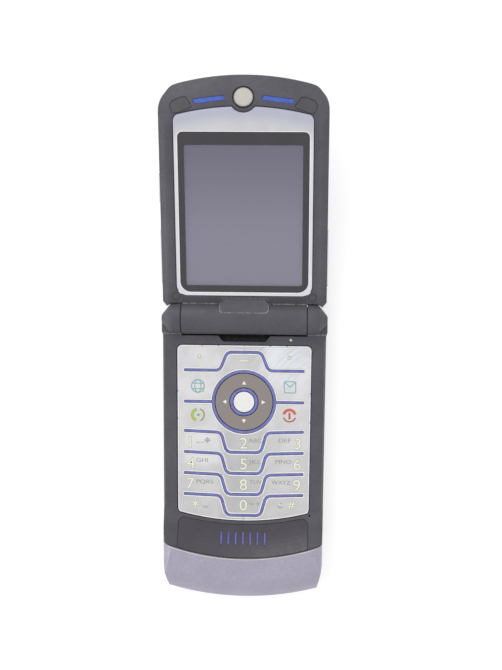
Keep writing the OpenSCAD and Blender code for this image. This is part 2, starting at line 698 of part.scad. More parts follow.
// Side view of the chin's inside, set in by g, as [distance from the end arc's centre, height]
function chin_room(g) = let (r = chin_end_r - chin_wall - g, low = chin_wall + g) rounded([
    [chin_end_r - chin_l + chin_wall + g, low, 0], [r - 3, low, 3], [r, 4.6, 1.6],
    [r - end_lean, 7.4, 1.6], [r - 4.4, crest_h - 3 - g, 6],
    [chin_end_r - chin_l + chin_wall + g, crest_h - 1.4 - g, 0]]);

module chin_turn(hx) intersection() {
    translate([0, end_cy, 0]) rotate_extrude($fn = 180) children();
    box(-hx, hx, 0, crest_d + chin_l, -1, far);
}

module chin_cover() color(metal_c) difference() {
    base_block();
    chin_side(fit / 2);
    chin_turn(chin_room_hw) polygon(chin_room(0));
}

module antenna() color(board_c) difference() {
    chin_turn(chin_room_hw - 0.3) polygon(chin_room(0.3));
    chin_side(chin_wall + 0.3);
}

slot_pitch = 2.39;
slot_w = 0.75;
slot_ds = [ramp_d + 2.35, ramp_d + 6.45];

module chin_slots(g) for (i = [-3:3]) slab(0, far)
    polygon(rounded(panel(i * slot_pitch - slot_w / 2 - g, i * slot_pitch + slot_w / 2 + g,
        slot_ds[0] - g, slot_ds[1] + g, slot_w / 2 + g - 0.01, slot_w / 2 + g - 0.01), 4));

module chin_panel() color(housing_c) difference() {
    intersection() {
        layer(-panel_t, 0);
        slab(0, far) panel_outline(0);
    }
    chin_slots(0);
}

module chin_inserts() color(blue_c) intersection() {
    layer(-panel_t, -0.15);
    chin_slots(-seat);
}

module keymat() color(blue_c) {
    slab(keymat_z, keymat_z + keymat_t) keypad_outline(keymat_edge);
    difference() {
        slab(keymat_z + keymat_t / 2, rib_top) line_bands(rib_w);
        post(0, nav_d, nav_r + ring_fit, keymat_z, base_t);
    }
    translate([0, y_at(nav_d), keymat_z + keymat_t / 2]) linear_extrude(rib_top - keymat_z - keymat_t / 2) {
        difference() {
            circle(r = nav_r + ring_fit + ring_w);
            circle(r = nav_r + ring_fit);
        }
        difference() {
            circle(r = select_r + select_fit + select_ring_w);
            circle(r = select_r + select_fit);
        }
    }
}

module key(cell) color(silver_c) slab(key_z, base_t) difference() {
    intersection() {
        keypad_outline(0);
        polygon([for (p = cell) [p[0], y_at(p[1])]]);
    }
    keypad_cuts();
}

module nav_annulus(r_out, z, t) translate([0, y_at(nav_d), z]) linear_extrude(t) difference() {
    circle(r = r_out);
    circle(r = nav_hole_r);
}

module nav_plate() color(steel_c) nav_annulus(nav_r - 0.2, nav_plate_z, nav_plate_t);

module nav_ring() color(nav_c) nav_annulus(nav_r, nav_ring_z, nav_ring_t);

module select_button() color(white_c) post(0, nav_d, select_r, key_z - key_float + key_travel + seat, base_t);

module dome_sheet() color(steel_c) {
    box(-board_hw, board_hw, cavity_d + 0.2, cavity_end_d - 0.3, dome_z, dome_z + dome_t);
    for (p = key_centres) post(p[0], p[1], dome_r, dome_z + dome_t / 2, dome_z + dome_t + dome_h);
}

shield_t = 1.3;

module main_board() color(board_c) {
    difference() {
        box(-board_hw, board_hw, cavity_d + 0.2, board_end_d, board_z, board_z + board_t);
        box(-far, -hw + socket_depth + 0.3, cavity_d, socket_d + socket_w / 2 + 0.4, -1, far);
    }
    box(sim_x + 0.6, loudspeaker_x - loudspeaker_r - 0.6, cavity_d + 1, door_d - 0.5,
        board_z - shield_t, board_z + 0.1);
}

microphone_d = ramp_d + 5.5;
microphone_r = 1.9;

module microphone() color(steel_c)
    post(0, microphone_d, microphone_r, board_z + board_t + seat,
        base_t + ramp_rise(microphone_d - microphone_r) - panel_t - face_t - 2 * fit);

module loudspeaker() color(rubber_c)
    post(loudspeaker_x, loudspeaker_d, loudspeaker_r, back_t + seat, board_z - 0.2);

sim_x = -2;                                 // right-hand edge of the SIM holder
sim_w = 14;
sim_t = 1.5;
sim_wall = 0.4;

module sim_holder() color(steel_c) difference() {
    box(sim_x - sim_w, sim_x, cavity_d + 0.8, door_d - 0.8, board_z - sim_t, board_z - seat);
    box(sim_x - sim_w + sim_wall, sim_x - sim_wall, cavity_d + 2, door_d, board_z - sim_t + sim_wall,
        board_z - sim_wall);
}

module usb_socket() color(steel_c) {
    tongue = 0.7;
    shell = 0.35;
    difference() {
        socket_bar(0.3, socket_depth, 0);
        socket_bar(-1, socket_depth - 1, shell);
    }
    box(-hw + 1.6, -hw + socket_depth - 0.5, socket_d - 2.5, socket_d + 2.5,
        socket_z + (socket_t - tongue) / 2, socket_z + (socket_t + tongue) / 2);
}

module battery() color(battery_c) difference() {
    mid_box(battery_w, battery_d, battery_d + battery_l, battery_z, battery_z + battery_t);
    for (i = [-1:1]) translate([i * 3, 0, 0])
        mid_box(1.8, battery_d - 1, battery_d + 1.2, battery_z + battery_t - 1.2, far);
}

module battery_door() color(metal_c) slab(0, door_t) door_outline(0, -fit);

module door_latch() color(housing_c) difference() {
    mid_box(latch_w, latch_d - latch_l, latch_d, fit, door_t);
    for (i = [-1:1]) translate([0, i * 0.9, 0])
        mid_box(latch_w - 2, latch_d - latch_l / 2 - 0.2, latch_d - latch_l / 2 + 0.2, -1, 0.3);
}

cam_pin_l = 16;                             // the left pin is the hinge's long cam module
plain_pin_l = 9;

module hinge_pins() color(steel_c) {
    x_cylinder(pin_r, -pin_end, -pin_end + cam_pin_l);
    x_cylinder(pin_r, pin_end - plain_pin_l, pin_end);
}

module base_screws() color(steel_c) at_screws() difference() {
    translate([0, 0, door_t + 0.1]) union() {
        cylinder(r = screw_head_r, h = screw_head_t);
        cylinder(r = screw_r, h = keymat_z - door_t - 1);
    }
    cylinder(r = 0.6, h = door_t + 0.6, $fn = 6);
}

// ---------- outer form of the flip ----------

tip_d = crest_d - tip_gap;                  // tip of the flip
tip_r = crest_r + 7.6;                      // plan radius of the tip
flip_edge = 2;                              // width of the sloping edge of the inner face
flip_near_d = 3.8;                          // where the flip's corners reach in round the knuckles
flip_near_cut = 1.7;
flip_outer_r = 1.4;
tip_drop = 0.5;                             // how far the outer face falls at the tip

module flip_outline(g) intersection() {
    polygon(rounded(grown(both_sides([[hw - flip_near_cut, y_at(flip_near_d), 0.4],
        [hw, y_at(flip_near_d + flip_near_cut), 0.6], [hw, y_at(tip_d - 7.8), 7],
        [hw - 3.5, y_at(tip_d - 3.45), 4], [0, y_at(tip_d + 4.45), 0]]), -g)));
    translate([0, y_at(tip_d) + tip_r]) circle(r = tip_r - g, $fn = 180);
}

flip_section = rounded(both_sides([[hw, closed_t, flip_outer_r], [hw, flip_z + 1.1, 0.4],
    [hw - flip_edge, flip_z, 1.2]]), 6);

// Side view of the flip, lowered by g
function flip_side(g) = rounded([[hinge_y, base_t - 1, 0], [hinge_y, hinge_z + hinge_r - g, 0],
    [y_at(15), closed_t - g, 100], [y_at(60), closed_t - g, 300],
    [y_at(crest_d), closed_t - tip_drop - g, 0], [y_at(crest_d), base_t - 1, 0]]);

module flip_form() difference() {
    intersection() {
        slab(base_t, closed_t) union() {
            flip_outline(0);
            translate([-barrel_w / 2, y_at(side_d + 3)]) square([barrel_w, side_d + 3]);
        }
        along_y(end_y, hinge_y) polygon(flip_section);
        along_x(-hw, hw) polygon(flip_side(0));
    }
    below(lid_gap);
    pair() knuckle(side_gap);
}

module over_side(g) difference() {
    box(-hw, hw, -1, crest_d, base_t - 1, far);
    along_x(-hw - 1, hw + 1) polygon(flip_side(g));
}

// An inner layer of the flip, from t0 to t1 behind its inner face
module flip_layer(t0, t1) layer(lid_gap + t0, lid_gap + t1);

disc_d = crest_d - disc_inset;
disc_gap = 0.5;
disc_rim = 0.95;                            // dark rim between the disc's seat and the bezel
disc_flat_d = disc_d - disc_r + 0.25;
disc_t = 0.8;
bezel_side = (bezel_w - window_w) / 2;
bezel_near_d = window_d - bezel_side;
bezel_far_d = disc_d - disc_r + 0.4;
bezel_arc_r = 84;
bezel_corner_drop = 2.7;                    // how far the bezel's far corners lie behind its middle
window_end_d = bezel_far_d - brow_l;
window = panel(-window_w / 2, window_w / 2, window_d, window_end_d, 3.3, 1.5);
window_ledge = 0.7;

module bezel_outline(g) difference() {
    intersection() {
        polygon(rounded(grown(both_sides([[bezel_w / 2, y_at(bezel_near_d), 3.5],
            [bezel_w / 2, y_at(bezel_far_d - bezel_corner_drop), 2.5],
            [0, y_at(bezel_far_d + 2.3), 0]]), g)));
        translate([0, y_at(bezel_far_d) + bezel_arc_r]) circle(r = bezel_arc_r + g, $fn = 180);
    }
    translate([0, y_at(disc_d)]) circle(r = disc_r + disc_gap + disc_rim - g);
}

// Sets its children on the ramp of the flip at distance d, with their Z along the surface's normal
module on_ramp(d) translate([0, y_at(d), flip_z + ramp_rise(d)]) rotate([-ramp_angle(d), 0, 0]) children();

// Outlines as [x, distance, corner radius], set out from the side and from the disc
bumper_x = hw - 3.7;
bumper = [for (p = [[0, -2.75, 0.5], [-0.8, -1.45, 0.5], [-3.4, -0.35, 0.5], [-4.9, -0.25, 0.3],
    [-6.9, -2.75, 0.3], [-6.2, -3.25, 0.3], [-2.8, -4.65, 0.4], [-0.8, -4.85, 0.5]])
    [bumper_x + p[0], disc_d + p[1], p[2]]];
ear_slot_x = disc_r + 2.55;
ear_slot_end_x = bumper_x - 6.85;
ear_slot = [[ear_slot_x, disc_d - 0.8, 0.25], [ear_slot_x + 0.7, disc_d + 0.4, 0.3],
    [ear_slot_end_x, disc_d - 0.8, 0.3], [ear_slot_end_x - 0.85, disc_d - 2.05, 0.25]];
bumper_proud = 0.1;

function seen(pts, g) = grown([for (p = pts) [p[0], y_at(p[1]), p[2]]], g);

plug_x = 21.93;
plug_d = 7.4;
plug_r = 1.3;
plug_t = 0.7;
plug_boss_r = 2.3;
flip_screw_r = 0.7;
flip_screw_head_r = 1.2;
flip_screw_z = flip_z + plug_t + seat;      // top of the screw head
flip_screw_head_t = 1;
flip_screw_end = hinge_z + hinge_r + 0.3;

// Side keys as [side, near distance, far distance]
side_key_t = 2.2;
side_key_r = 0.9;
side_key_z = flip_z + 1.7;
side_key_proud = 0.3;
side_key_in = 0.9;
side_key_room = 0.35;
rocker = [-1, 11, 30];
smart = [-1, 37.9, 48.2];
voice = [1, 10.7, 29];

// A side key k, its outline grown by g, reaching in by room more
module side_key(k, g, room) {
    y0 = y_at(k[1]) + g;
    y1 = y_at(k[2]) - g;
    z0 = side_key_z - g;
    z1 = side_key_z + side_key_t + g;
    mirror([k[0] < 0 ? 1 : 0, 0, 0]) along_x(hw - side_key_in - room, hw + side_key_proud)
        polygon(rounded([[y0, z0, side_key_r], [y0, z1, side_key_r], [y1, z1, side_key_r],
            [y1, z0, side_key_r]], 4));
}

module flip_housing() color(housing_c) opened() difference() {
    union() {
        difference() {
            flip_form();
            difference() {
                slab(base_t, far) flip_outline(flip_wall);
                below(lid_gap + flip_face_t);
                box(-far, far, -far, side_d + flip_wall, -1, far);
            }
            intersection() {
                slab(base_t, far) flip_outline(cover_rim - fit);
                over_side(cover_t + seat);
            }
        }
        x_cylinder(hinge_r, -barrel_w / 2, barrel_w / 2);
        x_cylinder(spigot_r, -spigot_end, spigot_end);
        heel_block();
        pair() post(plug_x, plug_d, plug_boss_r, flip_z + 0.5, hinge_z + hinge_r - cover_t);
    }
    x_cylinder(pin_r + pin_fit, -barrel_w / 2 - 1, barrel_w / 2 + 1);
    intersection() {
        flip_layer(-1, bezel_t + seat);
        slab(0, far) bezel_outline(fit);
    }
    slab(0, flip_z + window_t + 2 * seat) polygon(rounded(grown(window, fit)));
    slab(0, far) polygon(rounded(grown(window, -window_ledge)));
    pair() intersection() {
        flip_layer(-1, flip_face_t / 2 + seat);
        slab(0, far) polygon(rounded(seen(bumper, fit), 4));
    }
    pair() slab(0, flip_z + 4) polygon(rounded(seen(ear_slot, seat), 4));
    on_ramp(disc_d) translate([0, 0, -1]) cylinder(r = disc_r + disc_gap, h = 1 + disc_t + seat);
    pair() {
        post(plug_x, plug_d, plug_r + fit, 0, flip_screw_z + flip_screw_head_t + seat);
        post(plug_x, plug_d, flip_screw_r + fit, 0, far);
    }
    for (k = [rocker, smart, voice]) side_key(k, 2 * fit, side_key_room);
}

outer_window_d = 19.5;
outer_window_end_d = outer_window_d + outer_window_l;
outer_window = panel(-outer_window_w / 2, outer_window_w / 2, outer_window_d, outer_window_end_d, 2.5, 2.5);
camera_d = 12.2;
lens_r = 2.4;
cover_z = closed_t - cover_t;               // inner face of the outer cover

module cover_layer(t0, t1) intersection() {
    over_side(t1);
    along_x(-hw, hw) polygon(flip_side(t0));
}

module flip_outer_cover() color(metal_c) opened() difference() {
    intersection() {
        slab(base_t, closed_t) flip_outline(cover_rim);
        cover_layer(0, cover_t);
        along_y(end_y, hinge_y) polygon(flip_section);
    }
    slab(0, far) polygon(rounded(grown(outer_window, fit)));
    post(0, camera_d, camera_r + fit, 0, far);
    pair() post(plug_x, plug_d, flip_screw_r + seat, 0, flip_screw_end + fit);
}

module display_bezel() color(silver_c) opened() difference() {
    intersection() {
        flip_layer(0, bezel_t);
        slab(0, far) bezel_outline(0);
    }
    slab(0, far) polygon(rounded(grown(window, fit)));
}

module display_window() color(glass_c, 0.6) opened()
    slab(flip_z + seat, flip_z + seat + window_t) polygon(rounded(window));

lcd_z = flip_z + flip_face_t + fit;
flip_board_z = lcd_z + lcd_t + fit;
flip_board_t = 0.6;
outer_lcd_z = flip_board_z + flip_board_t + fit;
lcd_w = window_w - 2.2;

module main_lcd() color(screen_c) opened() {
    mid_box(lcd_w, window_d - 0.3, window_end_d + 0.3, lcd_z, lcd_z + lcd_t);
    slab(flip_z + window_t + 3 * seat, lcd_z + lcd_t / 2)
        polygon(rounded(grown(window, -window_ledge - 2 * fit)));
}

module flip_board() color(board_c) opened()
    mid_box(lcd_w, window_d, window_end_d, flip_board_z, flip_board_z + flip_board_t);

module outer_lcd() color(screen_c) opened()
    mid_box(outer_window_w - 2, outer_window_d + 1, outer_window_end_d - 1, outer_lcd_z, cover_z - 0.2);

module outer_window_pane() color(glass_c, 0.6) opened() intersection() {
    slab(cover_z, closed_t) polygon(rounded(outer_window));
    cover_layer(seat, cover_t);
}

module camera_ring() color(steel_c) opened() intersection() {
    difference() {
        post(0, camera_d, camera_r, cover_z - 0.2, closed_t);
        post(0, camera_d, lens_r + fit, 0, far);
    }
    along_x(-hw, hw) polygon(flip_side(0));
}

module camera_lens() color(glass_c) opened() post(0, camera_d, lens_r, cover_z - fit, closed_t - 0.45);

module camera_module() color(rubber_c) opened() difference() {
    mid_box(2 * camera_r - 0.8, window_d + 0.2, camera_d + camera_r - 0.4, outer_lcd_z, cover_z - 0.3);
    over_side(cover_t + fit);
}

speaker_ds = [window_end_d + 1.3, disc_d - 2.3];
speaker_w = 12;
speaker_z = flip_z + flip_face_t + ramp_rise(speaker_ds[1]) + 0.2;

module earpiece_speaker() color(rubber_c) opened()
    mid_box(speaker_w, speaker_ds[0], speaker_ds[1], speaker_z, cover_z - 0.5);

module earpiece_inserts() color(slot_blue_c) opened() pair() intersection() {
    flip_layer(0.1, flip_face_t);
    slab(0, far) polygon(rounded(seen(ear_slot, 0), 4));
}

module earpiece_disc() color(silver_c) opened() difference() {
    on_ramp(disc_d) cylinder(r = disc_r, h = disc_t);
    box(-hw, hw, 0, disc_flat_d, 0, far);
}

module flip_bumpers() color(rubber_c) opened() pair() intersection() {
    flip_layer(-bumper_proud, flip_face_t / 2);
    slab(0, far) polygon(rounded(seen(bumper, 0), 4));
}

module flip_screw_plugs() color(rubber_c) opened()
    pair() post(plug_x, plug_d, plug_r, flip_z, flip_z + plug_t);

module flip_screws() color(steel_c) opened() pair() {
    post(plug_x, plug_d, flip_screw_head_r, flip_screw_z, flip_screw_z + flip_screw_head_t);
    post(plug_x, plug_d, flip_screw_r, flip_screw_z, flip_screw_end);
}

module volume_rocker() color(silver_c) opened() side_key(rocker, 0, 0);
module smart_key() color(silver_c) opened() side_key(smart, 0, 0);
module voice_key() color(silver_c) opened() side_key(voice, 0, 0);

flip_housing();
flip_outer_cover();
display_bezel();
display_window();
main_lcd();
flip_board();
outer_window_pane();
outer_lcd();
camera_ring();
camera_lens();
camera_module();
earpiece_speaker();
earpiece_inserts();
earpiece_disc();
flip_bumpers();
flip_screw_plugs();
flip_screws();
volume_rocker();
smart_key();
voice_key();
front_housing();
rear_housing();
chin_cover();
chin_panel();
chin_inserts();
keymat();
nav_plate();
nav_ring();
select_button();
dome_sheet();
main_board();
microphone();
loudspeaker();
sim_holder();
usb_socket();
battery();
battery_door();
door_latch();
antenna();
hinge_pins();
base_screws();
for (k = KEYS) key(k[1]);
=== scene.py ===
"""Looks of a clamshell phone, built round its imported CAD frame.

Blender units are metres. Sizes and places below are in millimetres unless a name says otherwise,
in the part's own frame: +X right, +Y from the chin to the flip, +Z up, back face at Z = 0.
"""
import json
import math

import bmesh
import bpy
from mathutils import Matrix, Vector
from mathutils.kdtree import KDTree


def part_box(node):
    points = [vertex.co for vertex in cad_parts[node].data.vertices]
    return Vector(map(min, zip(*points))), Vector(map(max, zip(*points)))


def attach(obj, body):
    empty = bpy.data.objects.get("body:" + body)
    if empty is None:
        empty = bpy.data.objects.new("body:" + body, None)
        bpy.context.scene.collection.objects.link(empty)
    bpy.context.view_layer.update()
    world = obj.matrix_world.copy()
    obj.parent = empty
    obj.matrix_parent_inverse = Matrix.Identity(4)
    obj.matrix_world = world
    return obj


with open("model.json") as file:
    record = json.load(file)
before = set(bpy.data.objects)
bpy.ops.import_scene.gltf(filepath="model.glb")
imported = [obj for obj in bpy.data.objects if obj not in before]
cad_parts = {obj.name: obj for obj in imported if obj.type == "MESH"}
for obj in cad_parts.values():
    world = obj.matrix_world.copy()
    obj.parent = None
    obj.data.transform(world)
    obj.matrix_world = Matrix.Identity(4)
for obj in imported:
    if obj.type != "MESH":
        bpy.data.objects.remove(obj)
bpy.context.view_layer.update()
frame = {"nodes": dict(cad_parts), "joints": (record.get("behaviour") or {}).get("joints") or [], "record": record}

MM = 0.001
NODES = frame["nodes"]
KEYS = [name for name in NODES if name.startswith("key_")]


def mm_box(node):
    """Lowest and highest corner of a CAD node, in millimetres."""
    return [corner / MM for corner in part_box(node)]


def add_object(name, data):
    made = bpy.data.objects.new(name, data)
    bpy.context.scene.collection.objects.link(made)
    return made


def add_piece(name, data, materials, body, slot):
    """Puts a mesh in the scene with its materials, on the body that it rides on."""
    for material in materials:
        data.materials.append(material)
    piece = add_object(name, data)
    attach(piece, body)


def mesh_data(name, mesh):
    """Turns a bmesh into a mesh, with its faces looking outwards."""
    bmesh.ops.recalc_face_normals(mesh, faces=mesh.faces)
    data = bpy.data.meshes.new(name)
    mesh.to_mesh(data)
    mesh.free()
    return data


# ---- places taken from the frame ----

FACE_Z = mm_box("key_5")[1].z  # top face of the keys and of the base
NAV_LOW, NAV_HIGH = mm_box("nav_ring")
NAV = (NAV_LOW + NAV_HIGH) / 2
NAV_TOP = NAV_HIGH.z
HINGE = next(j for j in frame["joints"] if j["name"] == "flip_hinge")
AXIS = Vector(HINGE["pos_m"]) / MM
OPEN_RISE = math.pi - math.radians(HINGE["range_deg"][1])  # the open flip rises from flat by this
FLIP_ALONG = Vector((0, math.cos(OPEN_RISE), math.sin(OPEN_RISE)))
FLIP_OUT = Vector((0, -math.sin(OPEN_RISE), math.cos(OPEN_RISE)))
FLIP_FACE = 0.15  # the flip's inner face lies this far off the axis

# ---- camera ----

PHOTO_H = 670  # height of the photograph in pixels
FOCAL_PX = 1256.32
CAMERA_AT = (22.315, 83.8, 411.618)
CAMERA_PITCH, CAMERA_YAW, CAMERA_ROLL = -0.1098, 0.0509, 0.0125  # radians


def make_camera():
    camera = bpy.data.cameras.new("camera")
    camera.sensor_width = 36
    camera.lens = FOCAL_PX * camera.sensor_width / PHOTO_H
    camera.clip_start = 0.01
    obj = add_object("camera", camera)
    turn = Matrix.Rotation(CAMERA_ROLL, 4, "Z") @ Matrix.Rotation(CAMERA_PITCH, 4, "X")
    turn = turn @ Matrix.Rotation(CAMERA_YAW, 4, "Y")
    obj.matrix_world = Matrix.Translation(Vector(CAMERA_AT) * MM) @ turn
    bpy.context.scene.camera = obj


# ---- materials ----

BEVEL_SAMPLES = 4
NOISE_ROUGH = 0.55


def rgba(colour):
    """A plain colour with its alpha. A socket stays as it is."""
    return (*colour, 1) if isinstance(colour, tuple) else colour


def feed(tree, socket, value):
    """Links an output into a socket, or sets the socket to a plain value."""
    if isinstance(value, bpy.types.NodeSocket):
        tree.links.new(value, socket)
    else:
        socket.default_value = value


def add_node(tree, kind, inputs=(), **settings):
    """A new node with its settings made, and then its inputs fed by name or number."""
    made = tree.nodes.new("ShaderNode" + kind)
    for name, value in settings.items():
        setattr(made, name, value)
    for socket, value in dict(inputs).items():
        feed(tree, made.inputs[socket], value)
    return made


class Finish:
    """A node material round one Principled shader, with short calls for the nodes used here."""

    def __init__(self, name, colour, rough, metallic=0.0, specular=0.5):
        self.material = bpy.data.materials.new(name)
        self.material.use_nodes = True
        self.tree = self.material.node_tree
        self.shader = self.tree.nodes["Principled BSDF"]
        self.set(Base_Color=rgba(colour), Roughness=rough, Metallic=metallic, Specular_IOR_Level=specular)
        self.point = self.node("TexCoord").outputs["Object"]

    def set(self, **values):
        """Feeds inputs of the shader, written with an underscore for each space."""
        for name, value in values.items():
            feed(self.tree, self.shader.inputs[name.replace("_", " ")], value)

    def base(self, colour):
        self.set(Base_Color=colour)

    def rough(self, value):
        self.set(Roughness=value)

    def node(self, kind, inputs=(), **settings):
        return add_node(self.tree, kind, inputs, **settings)

    def math(self, operation, *values):
        return self.node("Math", enumerate(values), operation=operation).outputs[0]

    def minus(self, a, b):
        return self.math("SUBTRACT", a, b)

    def product(self, *values):
        total = values[0]
        for value in values[1:]:
            total = self.math("MULTIPLY", total, value)
        return total

    def vector(self, operation, *values):
        made = self.node("VectorMath", enumerate(values), operation=operation)
        return made.outputs["Value" if operation in ("DOT_PRODUCT", "LENGTH") else "Vector"]

    def axis(self, direction):
        """Distance in millimetres along a direction."""
        return self.vector("DOT_PRODUCT", self.point, tuple(Vector(direction) / MM))

    def x(self):
        return self.axis((1, 0, 0))

    def y(self):
        return self.axis((0, 1, 0))

    def z(self):
        return self.axis((0, 0, 1))

    def along_flip(self):
        """Distance along the open flip from the hinge axis."""
        return self.minus(self.axis(FLIP_ALONG), AXIS.dot(FLIP_ALONG))

    def out_of_flip(self):
        """Height over the inner face of the flip."""
        return self.minus(self.axis(FLIP_OUT), AXIS.dot(FLIP_OUT) - FLIP_FACE)

    def distance(self, place, flat=False):
        """Distance in metres from a place in millimetres, or from the upright line through it."""
        away = self.vector("SUBTRACT", self.point, tuple(Vector(place) * MM))
        if flat:
            away = self.vector("MULTIPLY", away, (1, 1, 0))
        return self.vector("LENGTH", away)

    def texture(self, kind, size, inputs, output, **settings):
        """A texture whose features are about size millimetres wide."""
        return self.node(kind, {"Scale": 1 / (size * MM), **inputs}, **settings).outputs[output]

    def noise(self, size, detail=3.0, stretch=(1, 1, 1)):
        """Cloudy noise from 0 to 1."""
        scaled = self.vector("MULTIPLY", self.point, stretch)
        given = {"Vector": scaled, "Detail": detail, "Roughness": NOISE_ROUGH}
        return self.texture("TexNoise", size, given, "Fac")

    def rings(self, distance, size, detail=2.0):
        """Noise from 0 to 1 that changes only with a distance in metres."""
        given = {"W": distance, "Detail": detail}
        return self.texture("TexNoise", size, given, "Fac", noise_dimensions="1D")

    def cells(self, size, metric="EUCLIDEAN"):
        """Distance from the middle of the nearest of many cells."""
        return self.texture("TexVoronoi", size, {"Vector": self.point}, "Distance", distance=metric)

    def span(self, value, low, high, to_low=0.0, to_high=1.0):
        """Maps low..high to to_low..to_high, held at the ends."""
        given = {"Value": value, "From Min": low, "From Max": high, "To Min": to_low, "To Max": to_high}
        return self.node("MapRange", given, interpolation_type="SMOOTHSTEP").outputs["Result"]

    def spread(self, noise, low, high):
        """Stretches a noise, which mostly stays between 0.3 and 0.7, over low..high."""
        return self.span(noise, 0.3, 0.7, low, high)

    def vary(self, low, high, size, **noise):
        """Noise of a given size between low and high."""
        return self.spread(self.noise(size, **noise), low, high)

    def line(self, value, middle, half):
        """1 where value is within half of middle, fading out over as much again."""
        return self.span(self.math("ABSOLUTE", self.minus(value, middle)), 2 * half, half)

    def rounded_mask(self, across, along, half, radius, soft):
        """1 inside a rounded rectangle of half sizes (a, b) in two centred coordinates."""
        ways = [self.math("ABSOLUTE", way) for way in (across, along)]
        pair = self.node("CombineXYZ", enumerate(ways)).outputs[0]
        over = self.vector("SUBTRACT", pair, (half[0] - radius, half[1] - radius, 0))
        over = self.vector("MAXIMUM", over, (0, 0, 0))
        return self.span(self.vector("LENGTH", over), radius + soft, radius - soft)

    def blend(self, kind, share, a, b):
        given = {0: share, 6: rgba(a), 7: rgba(b)}
        return self.node("Mix", given, data_type="RGBA", blend_type=kind).outputs[2]

    def mix(self, share, a, b):
        """Mixes two colours."""
        return self.blend("MIX", share, a, b)

    def shade(self, colour, factor):
        """Multiplies a colour by a grey factor."""
        grey = self.node("CombineColor", enumerate([factor] * 3))
        return self.blend("MULTIPLY", 1.0, colour, grey.outputs[0])

    def soft_edges(self, radius):
        """A normal that rounds the piece's edges."""
        return self.node("Bevel", {"Radius": radius * MM}, samples=BEVEL_SAMPLES).outputs["Normal"]

    def edges(self, radius, start=0.965, full=0.80):
        """1 within about radius millimetres of an edge, and 0 away from it."""
        flat = self.node("NewGeometry").outputs["Normal"]
        return self.span(self.vector("DOT_PRODUCT", self.soft_edges(radius), flat), start, full)

    def done(self, height, depth, soft=None):
        """Bumps the surface by height over a depth in millimetres, and rounds its edges by soft."""
        given = {"Distance": depth * MM, "Height": height}
        if soft:
            given["Normal"] = self.soft_edges(soft)
        self.set(Normal=self.node("Bump", given).outputs["Normal"])
        return self.material


DARK = (0.086, 0.082, 0.098)
PANEL_DARK = (0.052, 0.048, 0.060)
WORN = (0.30, 0.29, 0.275)
BLACK = (0.020, 0.020, 0.022)
DUST = (0.45, 0.44, 0.42)
RECESS_HALF = (9.4, 2.6)
RECESS_Y = 39.2
RECESS_FLOOR = 2.6  # below this height the base is plain again
KNUCKLE_FOOT_Y = 39.2  # where the knuckles rise from the face of the base
KNUCKLE_X = 20.3  # where the knuckles meet the barrel
BARREL_EDGE = 5.2  # just beyond the barrel, along the flip
FACE_FOOT = 6.1  # middle of the face between barrel and bezel
HEEL_TOP, HEEL_FOOT = 6.9, 2.45  # the heel's outline, in front of the hinge axis
HEEL_HALF = 7.9
HEEL_LINE = 0.11  # half the width of the worn line round it


def shell_tone_and_shade(f, across, height):
    """Light clouds of tone, painted shade at the foot of the flip's face and on the chin's sides, and painted
    light on the flip's sides, paler lower down and darker beside the bezel.
    """
    shade = f.product(f.vary(0.92, 1.08, 9, detail=4), f.vary(0.93, 1.07, 0.7, detail=3))
    # painted shade: the flip's face between barrel and bezel is darker
    face_foot_shade = f.product(f.line(f.along_flip(), FACE_FOOT, 0.9), f.span(across, KNUCKLE_X + 0.1, 20.0),
                             f.line(f.out_of_flip(), 0, 0.3))
    # painted light and shade: the flip's sides are paler lower down and at their outer edge, darker next to the
    # bezel
    side_of_flip = f.product(f.line(f.out_of_flip(), 0, 0.6), f.span(f.along_flip(), 7, 9))
    side_light_and_shade = f.product(side_of_flip, f.product(f.span(across, 22.3, 24.4, 0.90, 1.05),
                                                  f.span(f.along_flip(), 50, 25, 1, 1.12)))
    side_light_and_shade = f.math("ADD", side_light_and_shade, f.minus(1, side_of_flip))
    # painted shade: the raised sides towards the chin are darker
    cheek_shade = f.product(f.span(f.y(), -14, -20), f.span(height, FACE_Z + 0.1, FACE_Z + 2.5))
    return f.product(shade, f.span(face_foot_shade, 0, 1, 1, 0.76), side_light_and_shade, f.span(cheek_shade, 0, 1, 1, 0.82))


def worn_lines(f, across, height, specks):
    """Rubbed lines at the knuckles' feet, along the barrel and round the heel over it."""
    knuckle_line = f.product(f.line(f.y(), KNUCKLE_FOOT_Y, 0.1), f.span(across, KNUCKLE_X, KNUCKLE_X + 0.3),
                             f.line(height, FACE_Z + 0.1, 0.3), f.span(specks, 0.34, 0.52))
    barrel_line = f.product(f.line(f.along_flip(), BARREL_EDGE, 0.09), f.line(across, 14.3, 5.2),
                            f.line(f.out_of_flip(), 0, 0.3), f.span(specks, 0.36, 0.56))
    past_axis = f.minus(f.y(), AXIS.y)
    middle = (HEEL_TOP + HEEL_FOOT) / 2
    heel = [f.rounded_mask(f.x(), f.minus(past_axis, middle),
                           (HEEL_HALF + grow, HEEL_TOP - middle + grow), 1.3, 0.05)
            for grow in (HEEL_LINE, -HEEL_LINE)]
    heel_line = f.product(f.minus(*heel), f.span(height, AXIS.z - 1, AXIS.z),
                          f.span(past_axis, 5.5, 3.5, 0.3, 0.75),
                          f.span(f.noise(0.8, detail=4), 0.40, 0.54, 0.1, 1))
    return f.math("MAXIMUM", heel_line, f.math("MAXIMUM", knuckle_line, barrel_line))


